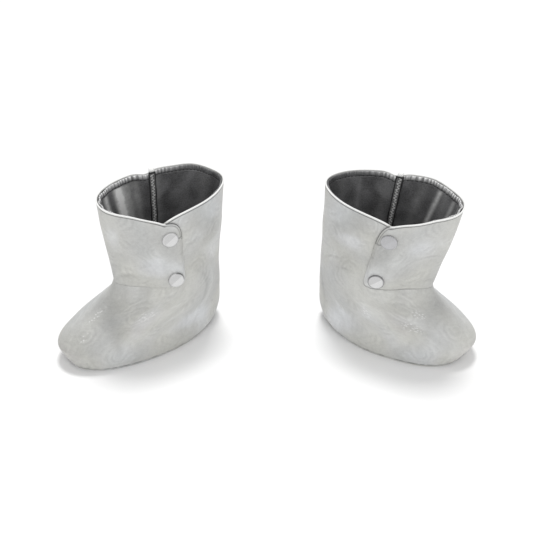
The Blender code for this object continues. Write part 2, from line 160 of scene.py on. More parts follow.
# Soft creases of the whole cloth. Each is centred at an angle and a height, and runs at a tilt from
# level. A negative depth is a low ridge.
Crease = namedtuple("Crease", "angle height tilt half_length half_width depth")
CREASES = {
    "left": [
        Crease(26.0, 83.5, 13.0, 13.0, 1.7, -0.55),
        Crease(28.0, 79.0, 11.0, 12.0, 1.9, 0.55),
        Crease(48.0, 91.0, 20.0, 7.0, 1.5, 0.40),
        Crease(12.0, 88.0, 8.0, 8.0, 1.8, 0.40),
        Crease(122.0, 56.0, -72.0, 28.0, 2.4, 0.60),
        Crease(129.0, 60.0, -76.0, 24.0, 2.2, -0.50),
        Crease(57.0, 29.0, -53.0, 17.0, 2.8, 0.50),
        Crease(98.0, 40.0, 24.0, 15.0, 2.4, -0.45),
        Crease(105.0, 108.0, 16.0, 14.0, 2.6, 0.40),
        Crease(205.0, 92.0, -14.0, 13.0, 1.9, 0.50),
        Crease(232.0, 74.0, 9.0, 15.0, 2.0, 0.55),
        Crease(228.0, 34.0, -58.0, 18.0, 2.6, 0.50),
        Crease(300.0, 84.0, -12.0, 14.0, 1.8, 0.60),
        Crease(304.0, 79.0, -9.0, 12.0, 1.9, -0.50),
        Crease(325.0, 96.0, 7.0, 10.0, 1.7, 0.40),
        Crease(186.0, 62.0, 84.0, 24.0, 2.6, 0.45),
    ],
    "right": [
        Crease(130.0, 84.0, -23.0, 12.0, 1.1, 0.65),
        Crease(27.0, 104.0, 2.0, 12.0, 1.1, 0.65),
        Crease(109.0, 79.5, -8.0, 6.0, 1.1, 0.50),
        Crease(38.0, 80.0, -10.0, 10.0, 1.7, -0.45),
        Crease(16.0, 74.0, 10.0, 9.0, 1.8, 0.50),
        Crease(60.0, 40.0, 21.0, 15.0, 2.6, 0.50),
        Crease(74.0, 24.0, -46.0, 15.0, 2.7, -0.45),
        Crease(146.0, 44.0, 78.0, 22.0, 2.4, 0.50),
        Crease(196.0, 96.0, 12.0, 12.0, 1.8, 0.50),
        Crease(226.0, 80.0, -16.0, 14.0, 2.0, 0.55),
        Crease(236.0, 36.0, 55.0, 17.0, 2.5, 0.45),
        Crease(298.0, 88.0, 11.0, 13.0, 1.7, 0.55),
        Crease(307.0, 76.0, 14.0, 12.0, 1.9, -0.50),
        Crease(332.0, 101.0, -6.0, 11.0, 1.5, 0.45),
    ],
}
CREASE_BEND = 0.012

# Long low waves of the cloth: how often each goes round, its length up the cover, where it starts
# and its height. They fade in above the sole.
SlackWave = namedtuple("SlackWave", "turns length start rise")
SLACK_WAVES = [
    SlackWave(2, 96.0, 0.4, 0.30),
    SlackWave(3, 61.0, 2.1, 0.24),
    SlackWave(5, -74.0, 4.0, 0.18),
    SlackWave(7, 38.0, 1.3, 0.12),
    SlackWave(9, -29.0, 5.2, 0.09),
]
SLACK_FROM = 5.0
SLACK_RUN_IN = 14.0

# Upright folds of the lining. Those at the front are on the solid too.
Fold = namedtuple("Fold", "angle half_width depth low_level")
LINING_FOLDS = [
    Fold(-84.0, 3.5, 0.5, 1.20),
    Fold(-72.0, 3.0, 0.5, 1.35),
    Fold(-62.0, 4.2, 1.0, 1.10),
    Fold(-51.0, 2.6, 0.5, 1.40),
    Fold(-40.0, 5.5, 1.3, 1.05),
    Fold(-29.0, 2.6, 0.5, 1.45),
    Fold(-21.0, 5.0, 1.5, 1.10),
    Fold(-3.0, 6.0, 1.2, 1.15),
    Fold(19.0, 5.5, 0.9, 1.25),
    Fold(41.0, 4.0, 0.4, 1.30),
    Fold(104.0, 6.0, 0.4, 1.20),
    Fold(133.0, 7.0, 0.5, 1.10),
    Fold(158.0, 5.0, 0.4, 1.25),
    Fold(181.0, 6.0, 0.5, 1.10),
    Fold(201.0, 3.0, 0.6, 1.15),
    Fold(224.0, 5.0, 0.4, 1.30),
    Fold(243.0, 4.0, 0.5, 1.20),
]
FOLD_RUN_OUT = 0.3

# Painted sheen where the lining's folds shine, and painted shade in the darker bands beside them
Gleam = namedtuple("Gleam", "angle half_width light")
LINING_PAINTED_SHEEN = {
    "left": [
        Gleam(-80.0, 5.0, 0.22),
        Gleam(-71.0, 4.0, 0.34),
        Gleam(-61.0, 5.4, 1.65),
        Gleam(-48.5, 3.0, -0.05),
        Gleam(-40.0, 4.4, 0.85),
        Gleam(-20.0, 6.0, 0.20),
        Gleam(259.0, 4.5, 0.14),
        Gleam(235.0, 2.5, -0.10),
        Gleam(205.0, 9.0, 0.05),
    ],
    "right": [
        Gleam(-76.0, 5.0, 0.10),
        Gleam(-58.5, 2.3, 0.62),
        Gleam(-50.0, 4.0, 0.06),
        Gleam(-37.0, 2.6, 0.40),
        Gleam(-22.0, 3.0, 0.18),
        Gleam(252.0, 6.0, 0.07),
        Gleam(226.0, 2.5, 0.08),
        Gleam(206.0, 6.0, 0.05),
    ],
}

# Paler and darker patches of the nap: half sizes in millimetres along and up the cloth. The broad dark
# patches over the toe and the front of the shaft are painted shade.
Patch = namedtuple("Patch", "angle height half_width half_height light")
PATCHES = {
    "left": [
        Patch(20.0, 118.0, 10.0, 12.0, 0.9),
        Patch(54.0, 88.0, 16.0, 11.0, 1.0),
        Patch(14.0, 45.0, 9.0, 7.0, 0.6),
        Patch(62.5, 43.0, 9.0, 8.0, 0.9),
        Patch(66.0, 27.0, 9.0, 14.0, 0.8),
        Patch(128.0, 92.0, 16.0, 10.0, 0.7),
        Patch(118.0, 26.0, 22.0, 7.0, 0.7),
        Patch(38.0, 50.0, 16.0, 12.0, 0.35),
        Patch(24.0, 24.0, 34.0, 26.0, -1.3),
        Patch(-20.0, 30.0, 30.0, 26.0, -0.8),
        Patch(136.0, 60.0, 24.0, 26.0, 0.25),
        Patch(70.0, 60.0, 16.0, 12.0, -0.3),
        Patch(88.0, 132.0, 20.0, 12.0, 0.3),
        Patch(36.0, 104.0, 34.0, 30.0, -0.35),
        Patch(198.0, 112.0, 15.0, 12.0, 0.8),
        Patch(236.0, 58.0, 14.0, 16.0, 0.8),
        Patch(300.0, 104.0, 16.0, 10.0, 0.7),
        Patch(318.0, 38.0, 14.0, 9.0, 0.6),
        Patch(168.0, 56.0, 18.0, 20.0, -0.4),
        Patch(262.0, 96.0, 16.0, 18.0, -0.5),
    ],
    "right": [
        Patch(114.0, 107.0, 16.0, 7.0, 0.9),
        Patch(42.0, 114.0, 20.0, 11.0, 0.9),
        Patch(92.0, 42.0, 8.0, 7.0, 0.6),
        Patch(55.0, 41.0, 16.0, 6.0, 0.6),
        Patch(126.0, 18.0, 18.0, 14.0, 0.7),
        Patch(28.0, 26.0, 12.0, 12.0, 0.3),
        Patch(30.0, 54.0, 16.0, 12.0, 0.35),
        Patch(66.0, 82.0, 14.0, 9.0, 0.6),
        Patch(74.0, 104.0, 16.0, 20.0, -0.7),
        Patch(102.0, 128.0, 14.0, 10.0, -0.3),
        Patch(124.0, 46.0, 18.0, 20.0, -0.1),
        Patch(20.0, 30.0, 34.0, 28.0, -0.25),
        Patch(-20.0, 30.0, 30.0, 26.0, -0.7),
        Patch(78.0, 24.0, 20.0, 14.0, 0.25),
        Patch(138.0, 62.0, 24.0, 26.0, 0.40),
        Patch(40.0, 96.0, 34.0, 30.0, -0.2),
        Patch(205.0, 108.0, 14.0, 12.0, 0.8),
        Patch(242.0, 64.0, 16.0, 14.0, 0.7),
        Patch(292.0, 110.0, 14.0, 12.0, 0.7),
        Patch(325.0, 42.0, 14.0, 9.0, 0.6),
        Patch(172.0, 66.0, 16.0, 18.0, -0.4),
        Patch(268.0, 90.0, 16.0, 18.0, -0.5),
    ],
}

# Small clusters of painted glints, bright dots in the nap
Cluster = namedtuple("Cluster", "angle height half_width half_height light", defaults=(1.0,))
CLUSTERS = {
    "left": [
        Cluster(13.0, 44.0, 5.0, 6.0),
        Cluster(62.5, 44.5, 8.0, 4.0),
        Cluster(24.0, 31.0, 3.5, 3.5),
        Cluster(238.0, 57.0, 6.0, 6.0),
        Cluster(305.0, 101.0, 8.0, 4.0),
        Cluster(196.0, 116.0, 5.0, 5.0),
    ],
    "right": [
        Cluster(92.0, 43.0, 5.5, 5.0),
        Cluster(57.0, 37.0, 8.0, 4.5),
        Cluster(41.0, 46.0, 6.0, 3.5),
        Cluster(244.0, 66.0, 6.0, 5.0),
        Cluster(296.0, 108.0, 7.0, 4.5),
        Cluster(208.0, 40.0, 5.0, 5.0),
    ],
}

# The bead along a turned edge and the small groove under it
Welt = namedtuple("Welt", "place half_width rise")
BEAD = Welt(0.7, 0.75, 0.30)
GROOVE = Welt(2.0, 0.38, -0.36)

# How far from an edge the mesh's rows lie, along the beaded rim and along a plain edge
EDGE_ROWS = (0.0, 0.07, 0.17, 0.3, 0.45, 0.65, 0.9, 1.2, 1.5, 1.8, 2.1, 2.35, 2.6, 2.9, 3.3, 3.9,
             4.7)
PLAIN_EDGE = (0.0, 0.07, 0.17, 0.3, 0.45, 0.65, 0.95, 1.5)

# Lines that are marked along edges: how far from the edge each lies, and half its width. They are the
# painted highlight of the rim, the painted shade line over the sole, and the painted shade lines along
# the flap's free edge and its lower edge.
Line = namedtuple("Line", "place half_width")
RIM_HIGHLIGHT = Line(0.2, 0.78)
SOLE_SHADE_LINE = Line(0.2, 0.75)
FREE_EDGE_SHADE = Line(0.2, 0.55)
LOW_EDGE_SHADE = Line(0.35, 0.5)

# On the heel piece the bead and its marks fade in behind the vee, over this angle
VEE_FADE = 4.0

# On the flap, over this angle round the vee, the bead and the groove's painted shade line fade to these
# parts of their strength
PAST_VEE = 1.0
CORNER_BEAD = 0.25
CORNER_SHADE = 0.55

# Edges within this band of the ankle are rounded over a shorter way
ANKLE_BAND = 1.2
ANKLE_SHARPNESS = 2.6

# Mesh sizes of the outer cloth and the lining
PLUSH_STEP = 1.15
PLUSH_FOOT_ROWS = 46
PLUSH_SHAFT_ROWS = 56
FLAP_ROWS = 96
SATIN_STEP = 0.8
SATIN_FOOT_ROWS = 20
SATIN_SHAFT_ROWS = 40
CORNER_COLUMNS = 22
SOLE_POINTS = 288
SOLE_RINGS = (0.0, 0.08, 0.2, 0.4, 0.65)

# The flap's free edge turns in towards the heel piece over this width, and its lining stays back
HUG_WIDTH = 4.0
HUG_DEPTH = 1.25
HUG_THIN = 0.4
LINING_SET_BACK = 3.4
SET_BACK_TURN = 6.0

# The corner's painted shadow outline ends in a small hook towards the upper snap: its height, its dip,
# the height over which the outline fades there, how fast it dips, half its line's width and how dark
# that is
HOOKS = {"left": 117.6, "right": 115.8}
HOOK_DIP = -0.9
HOOK_FADE = 2.5
HOOK_RUN = 1.6
HOOK_SHADOW_WIDTH = 0.5
HOOK_SHADOW_DARKNESS = 0.85

# How dark the painted shade line along each flap's lower edge is beside the snap, and where it fades
# out in front
FLAP_EDGE_SHADE = {"left": 0.06, "right": 0.8}
FLAP_EDGE_SHADE_FADE = 22.0
FLAP_EDGE_SHADE_FULL = 50.0

# How far the lower edge hangs past its own line, and how far up the cloth that pulls
FLAP_DROP = 0.22
FLAP_DROP_REACH = 6.0

# Near the ankle line both cloths keep square, close edges, so that the line hardly shows
SQUARE_EDGE = 1.8
SQUARE_REACH = 3.0

# The ribs of gathered cloth: waves that drift them along, waves of their size, and finer ribs on them
Wave = namedtuple("Wave", "rise length start")
RIB_DRIFTS = [Wave(1.5, 9.7, 0.0), Wave(0.9, 4.3, 1.9), Wave(0.9, 23.0, 0.0)]
RIB_SIZES = [Wave(0.25, 6.1, 0.7), Wave(0.20, 2.9, 2.0)]
RIB_SIZE = 0.55
FINE_RIB = 0.35
FINE_RIB_RATE = 1.73
FINE_RIB_START = 0.6

# The lining's hem: the stitch line below the rim, and the puckers above and under it
HEM = 5.0
HEM_BULGE = 0.45
PUCKER = 0.30
PUCKER_LENGTH = 3.7
TUFT_LENGTH = 2.4
SCALLOP = 0.5
SCALLOP_REACH = 1.7
STITCH_GROOVE = Welt(HEM, 0.5, 0.40)
DRAG = 0.16
DRAG_LENGTH = 6.8
DRAG_REACH = 7.0
DRAG_RUN_IN = 9.0
HEM_ROWS = (0.0, 0.07, 0.17, 0.35, 0.7) + tuple(1.1 + 0.42 * k for k in range(14))

# The hem's look changes from the toe side to the heel side: where the toe side is, how far it reaches,
# and how strong the hem's painted highlight is and how dark its stitch line at the heel side and at the
# toe side
TOE_SIDE = -40.0
TOE_SIDE_REACH = 115.0
TOE_SIDE_FULL = 45.0
Sides = namedtuple("Sides", "heel toe")
HEM_HIGHLIGHT = Sides(-0.12, 1.0)
HEM_LINE = Sides(0.05, 0.65)

# Half the stitch line's width, how far down the hem its painted highlight goes, how steeply its tufts
# fade, and the height below it over which the folds' painted sheen comes in
HEM_LINE_WIDTH = 0.6
HEM_FADE = 1.15
TUFT_FADE = 1.3
FOLD_SHEEN_RUN_IN = 2.0

# Stitches along the hem
STITCH_STEP = 3.7
STITCH_LENGTH = 2.0
STITCH_WIDTH = 0.95
STITCH_RISE = 0.5
STITCH_SINK = 0.15
STITCH_SEGMENTS = 10
STITCH_RINGS = 7

# How far the stitching stays off the seam, and off the vee on the flap and on the heel piece, as angles
STITCH_OFF_SEAM = 2.5
STITCH_BEFORE_VEE = 2.0
STITCH_PAST_VEE = 1.0

# Snaps. A cap's or back's top is shaped by insets, each with its width and its rise.
CAP_RADIUS = 7.1
CAP_EDGE = 1.1
BACK_RADIUS = 5.2
BACK_EDGE = 0.5
BACK_CLEARANCE = 0.9
STUD_SIDES = 72
STUD_BEVEL = 0.22
STUD_BEVEL_STEPS = 2
STUD_BEVEL_ANGLE = 50.0
STUD_MERGE = 0.004
FACES_UP = 0.9
Step = namedtuple("Step", "inset rise")
CAP_STEPS = [Step(0.30, 0.34), Step(0.35, 0.14), Step(0.30, 0.0), Step(0.25, -0.13), Step(0.30, 0.03),
             Step(0.70, 0.12), Step(0.90, 0.10), Step(1.10, 0.08), Step(1.10, 0.04)]
BACK_STEPS = [Step(0.30, 0.16), Step(0.80, 0.05), Step(0.50, 0.0), Step(0.25, 0.32), Step(0.55, 0.0),
              Step(0.20, -0.18), Step(0.70, -0.02)]
# How far round the cap's painted two-tone reflection is turned, in degrees
SHEEN_TURN = 38.0

# The painted shadow line round a cap: the way each stretch of it lies from the middle and how far it
# reaches to either side, as angles, and how dark it is. Past its ends it fades out over the run-out
# angle below.
ShadowArc = namedtuple("ShadowArc", "toward spread depth")
CAP_SHADOW_ARCS = {
    "left_upper": [ShadowArc(-75.0, 60.0, 0.7), ShadowArc(15.0, 25.0, 0.5)],
    "left_lower": [ShadowArc(42.0, 36.0, 1.0), ShadowArc(-120.0, 100.0, 0.3)],
    "right_upper": [ShadowArc(110.0, 45.0, 0.75), ShadowArc(-110.0, 50.0, 0.5)],
    "right_lower": [ShadowArc(0.0, 180.0, 0.9)],
}
CAP_SHADOW_LINE = Line(-0.05, 0.8)
CAP_SHADOW_RUN_OUT = 20.0

# The painted shadow line round a cap's foot and how dark it is, and the painted highlight ring inside
# its brim
CAP_FOOT_SHADOW = 0.3
CAP_FOOT_SHADOW_DARKNESS = 0.45
BRIM_HIGHLIGHT = Line(-0.95, 0.45)

# The cloth's dimple round each snap
DIMPLE_DEPTH = 0.3
DIMPLE_WIDTH = 11.0

# The overlocked seam allowance, and the threads on it
SEAM_WIDTH = 4.9
SEAM_THICK = 1.8
SEAM_OFFSET = LINING_INSIDE - 2 * GAP
SEAM_STAND = 3.4
SEAM_LEAN = 1.6
SEAM_SIDES = 22
SEAM_SQUARENESS = 3.0
SEAM_FOOT = SOLE_WALL + 2 * GAP + LINING_WALL + 2 * GAP
SEAM_ROW = 0.7
TUBE_SIDES = 7
NEARLY_UPRIGHT = 0.9

# The band's end is rounded over this height: its thickness shrinks to the first share, and its width to
# the second. Above the rim it is plain cloth, painted in the rim's highlight colour, with a painted
# dark shade line for the slit under that.
BAND_END = 1.2
BAND_END_THICK = 0.05
BAND_END_WIDE = 0.75
TIP_START = 0.2
TIP_RUN_IN = 0.4
SLIT_SHADE = Line(-0.6, 0.9)

# The looper thread squiggles across the band: its waves rise by shares of the band's half width, and
# their lengths count its pitches. It bobs up and down too, and ends at the slit below the rim.
LOOPER_PITCH = 2.9
LOOPER_STEPS = 12
LOOPER_RADIUS = 0.34
LOOPER_START = 2.0
LOOPER_MIDDLE = 0.14
LOOPER_WAVES = [Wave(0.44, 1.0, 0.0), Wave(0.14, 1 / 0.41, 1.0), Wave(0.08, 1 / 0.13, 0.0)]
LOOPER_STAND = 0.55
LOOPER_BOB = 0.35
SLIT_DROP = 1.6

# The two dark threads along the band's edges
CORD_RADIUS = 0.5
CORD_START = 1.0
CORD_STEP = 1.6
CORD_STAND = 0.4
CORD_PLACE = 1.12
CORD_WANDER = 0.05
CORD_WANDER_LENGTH = 3.1

# Flat cut of each cloth piece in metres: width, length and, for each cover, its area
Cut = namedtuple("Cut", "width length left_area right_area held rests_on")

# Marks that each cloth carries at its points, for its material to read
MARKS = {
    "plush": ("rim", "line", "hem", "crease", "nap_tone_and_painted_shade", "glint"),
    "satin": ("hem", "rib", "tuft", "line", "fold"),
}

# Values that the materials share: a range that is taken to another, and a noise's size in metres
Range = namedtuple("Range", "low high to_low to_high", defaults=(0.0, 1.0))
Grain = namedtuple("Grain", "size detail roughness", defaults=(2.0, 0.5))

# The uneven patches and the drift of tint that lie over every material
MOTTLE_PATCHES = {"Detail": 2.0, "Roughness": 0.45, "Distortion": 0.6}
MOTTLE_HUES = {"W": 3.7, "Detail": 1.0, "Distortion": 0.3}
HUE_SCALE = 0.8
TINTS = [
    (0.30, (0.950, 0.972, 1.0, 1.0)),
    (0.45, (0.985, 0.985, 0.985, 1.0)),
    (0.58, (1.0, 0.995, 0.955, 1.0)),
    (0.70, (1.0, 0.975, 0.950, 1.0)),
]

# The plush's nap lies in swirls: how wide they are, how far apart the arcs in them, and how uneven
SWIRL_PITCH = 0.036
SWIRL_ARC = 0.0056
SWIRL_WARP = 0.017
SWIRL_DRIFT = Grain(0.024, 3.0, 0.55)
SWIRL_SPREAD = 0.9
SWIRL_BORDER = Range(0.01, 0.16)
SWIRL_MIDDLE = Range(0.001, 0.006)

# The share of swirls that wind the other way, how much each one's arcs and the painted sheen of its nap
# are turned on from the next one's, and how the arcs wander
LEFT_HANDED = 0.45
ARC_START = 6.0
NAP_SHEEN_START = 3.0
ARC_WANDER = 9.0
ARC_DRIFT = Grain(0.011, 2.0, 0.6)

# The plush's patterns, and what each adds to its tone and to its relief. The nap's painted sheen
# lightens one side of each swirl, and the creases add painted shade in their troughs and a painted
# highlight on their low ridges.
PLUSH_CLOUD_SIZE = 0.042
PLUSH_CLOUDS = Range(0.36, 0.66)
PILE = Grain(0.0016, 3.0, 0.7)
TUFTS = Grain(0.0042, 2.0, 0.6)
SEEN_SIZE = Grain(0.021, 1.0)
SWIRLS_SEEN = Range(0.42, 0.60)
PLUSH_TONE = 0.70
PLUSH_TONES = {
    "swirl": 0.055,
    "painted_nap_sheen": 0.04,
    "cloud": 0.15,
    "nap_tone_and_painted_shade": 0.17,
    "pile": 0.24,
    "tuft": 0.26,
    "crease": -0.22,
}
PLUSH_RELIEFS = {"pile": 0.55, "swirl": 0.07, "tuft": 0.30}
PLUSH_RELIEF = 0.00045
PLUSH_ROUGHNESS = Range(0.3, 0.7, 0.82, 0.96)
PLUSH_FINISH = {"Sheen Weight": 0.25, "Sheen Roughness": 0.45, "Specular IOR Level": 0.25}

# Where the plush is bluer, its painted glints, and how strong its marks are: the rim's painted
# highlight, the painted shade lines along its edges and the painted shade over the sole
BLUE_CLOUDS = 0.5
BLUES = Range(0.1, 0.9)
TINT_SHARE = 0.7
DOT_SIZE = 0.0030
DOTS = Range(0.40, 0.08)
DOT_CLUSTERS = Range(0.2, 0.75, 0.0, 0.55)
RIM_HIGHLIGHT_SHARE = 0.9
SHADE_LINE_SHARE = 0.9
SOLE_SHADE_SHARE = 0.95
DASH_SIZE = Grain(0.007)
DASHES = Range(0.42, 0.58, 0.2, 1.0)

# The satin's patterns, its painted shine on the folds and its hem
SATIN_CLOUD_SIZE = 0.020
SATIN_CLOUDS = Range(0.25, 0.75)
SATIN_GRAIN = Grain(0.0013, 2.0, 0.7)
GRAIN_SEEN = Range(0.30, 0.70)
SATIN_TONE = 0.32
SATIN_TONES = {"grain": 0.55, "cloud": 0.70, "tuft": 0.40}
SHINE_SIZE = Grain(0.006, 3.0, 0.7)
SHINE = Range(0.3, 0.7, 0.6, 1.0)
RIB_TOPS = Range(0.1, 0.9, 0.25, 1.0)
STITCH_LINE_SHARE = 0.6
SATIN_WEAVE = 0.00055
SATIN_RELIEFS = {"grain": 0.6, "weave": 0.4}
SATIN_RELIEF = 0.00012
SATIN_ROUGHNESS = Range(0.3, 0.7, 0.34, 0.46)
SATIN_FINISH = {"Sheen Weight": 0.15, "Sheen Roughness": 0.3, "Specular IOR Level": 0.6}

# The seam band's thread bars
BAND_BARS = 0.0011
BAND_WEAVE = 0.0006
BAND_MOTTLE = 0.003
BAND_TONE = 0.3
BAND_TONES = {"bar": 0.6, "mottle": 0.6}
BAND_RELIEFS = {"bar": 0.7, "weave": 0.3}
BAND_RELIEF = 0.0003
BAND_ROUGHNESS = Range(0.0, 1.0, 0.7, 0.9)

# Twisted thread
TWIST_SIZE = 0.0008
TWIST_SLANT = 0.6
TWIST_TONES = Range(0.0, 1.0, 0.65, 1.0)
TWIST_ROUGHNESS = Range(0.0, 1.0, 0.7, 0.5)
TWIST_RELIEF = 0.0001

# Snap plastic
STUD_MOTTLE = 0.006
STUD_TONE = 0.96
STUD_TONES = {"mottle": 0.06}
SHEEN_SIDES = Range(-0.05, 0.05)
BRIM_HIGHLIGHT_SHARE = 0.5
SCUFFS = Grain(0.0009, 3.0, 0.7)
STUD_RELIEF = 0.00002
STUD_ROUGHNESS = Range(0.35, 0.7, 0.20, 0.34)
STUD_FINISH = {"Coat Weight": 0.3, "Coat Roughness": 0.12}

# Colours
PLUSH_COLOUR = (0.548, 0.550, 0.536, 1.0)
CLOUD_COLOUR = (0.562, 0.568, 0.572, 1.0)
# Colour of the painted glints
GLINT_COLOUR = (0.86, 0.86, 0.86, 1.0)
# Colour of the rim's painted highlight, also used on the seam band's tip
RIM_HIGHLIGHT_COLOUR = (0.88, 0.88, 0.87, 1.0)
# Colour of the painted shade lines at the plush's edges and of the painted shadow round the caps
PAINTED_SHADE_COLOUR = (0.045, 0.045, 0.048, 1.0)
SATIN_COLOUR = (0.132, 0.132, 0.135, 1.0)
# Colour of the painted highlight on the hem's puckers
HEM_HIGHLIGHT_COLOUR = (0.78, 0.78, 0.78, 1.0)
# Colour of the painted sheen on the lining's folds
SATIN_SHEEN_COLOUR = (0.95, 0.95, 0.94, 1.0)
STITCH_COLOUR = (0.012, 0.012, 0.013, 1.0)
BAND_COLOUR = (0.19, 0.19, 0.19, 1.0)
LIGHT_THREAD_COLOUR = (0.90, 0.90, 0.89, 1.0)
DARK_THREAD_COLOUR = (0.014, 0.014, 0.015, 1.0)

# The two snap plastics: their colour, the colour of their painted slanting reflection, which also
# paints the highlight inside the brim, and how dark their painted shadow lines are
Plastic = namedtuple("Plastic", "colour gleam_colour skirt")
STUD_PLASTIC = Plastic((0.56, 0.56, 0.56, 1.0), (0.68, 0.68, 0.68, 1.0), 0.8)
GREY_STUD_PLASTIC = Plastic((0.44, 0.44, 0.45, 1.0), (0.47, 0.47, 0.485, 1.0), 0.35)

# Studio: where each soft light is, its size in metres and its power in watts. All aim at one place.
Lamp = namedtuple("Lamp", "name place size power")
LAMPS = [
    Lamp("top_softbox", (0.0, 0.86, 2.87), 0.70, 48.0),
    Lamp("front_softbox", (0.10, -1.25, 0.85), 0.9, 5.2),
]
AIM = (0.0, 0.0, 0.06)
SURROUND_COLOUR = (1.0, 1.0, 1.0, 1.0)
SURROUND_STRENGTH = 0.58
FLOOR_HALF = 3.0
FLOOR_GRAIN = Grain(0.4, 1.0)
FLOOR_TONES = Range(0.3, 0.7, 0.925, 0.935)
FLOOR_FINISH = {"Roughness": 0.9, "Specular IOR Level": 0.0}


def ease(share):
    share = np.clip(share, 0.0, 1.0)
    return share * share * (3.0 - 2.0 * share)


def bell(away, half_width):
    return np.exp(-(away / half_width) ** 2)


def stroke(line, away):
    """How strongly a line is marked, at a distance from the edge that it follows."""
    return bell(away - line.place, line.half_width)


def welt(shape, away):
    """How far a bead swells or a groove sinks, at a distance from the edge that it follows."""
    return shape.rise * stroke(shape, away)


def turn_from(angle, other):
    """How far round an angle is from another one, from -180 to 180 degrees."""
    return (angle - other + 180.0) % 360.0 - 180.0


def way_from(angle, other):
    """How far round the cloth an angle is from another one, in millimetres."""
    return turn_from(angle, other) * ARC


def ring_faces(rings, count):
    """Faces of a closed skin round rings of points: its two ends, and four-sided ones between."""
    last = (rings - 1) * count
    faces = [tuple(reversed(range(count))), tuple(range(last, last + count))]
    for ring in range(rings - 1):
        for k in range(count):
            here = ring * count + k
            after = ring * count + (k + 1) % count
            faces.append((here, after, after + count, here + count))
    return faces


def through(places, values, at):
    """A smooth curve through a table's values that never bulges past its neighbours."""
    places = np.asarray(places, float)
    values = np.asarray(values, float)
    steps = np.diff(places)
    rises = np.diff(values) / steps
    slopes = np.empty(len(values))
    slopes[0] = rises[0]
    slopes[-1] = rises[-1]
    for i in range(1, len(values) - 1):
        before, after = rises[i - 1], rises[i]
        if before * after <= 0:
            slopes[i] = 0.0
        else:
            heavy = 2 * steps[i] + steps[i - 1]
            light = steps[i] + 2 * steps[i - 1]
            slopes[i] = (heavy + light) / (heavy / before + light / after)
    i = np.clip(np.searchsorted(places, at) - 1, 0, len(steps) - 1)
    t = np.clip((at - places[i]) / steps[i], 0.0, 1.0)
    start = values[i] * (1 + 2 * t) * (1 - t) ** 2 + slopes[i] * steps[i] * t * (1 - t) ** 2
    end = values[i + 1] * t ** 2 * (3 - 2 * t) + slopes[i + 1] * steps[i] * t ** 2 * (t - 1)
    return start + end


def signed_power(value, power):
    return np.sign(value) * np.abs(value) ** power


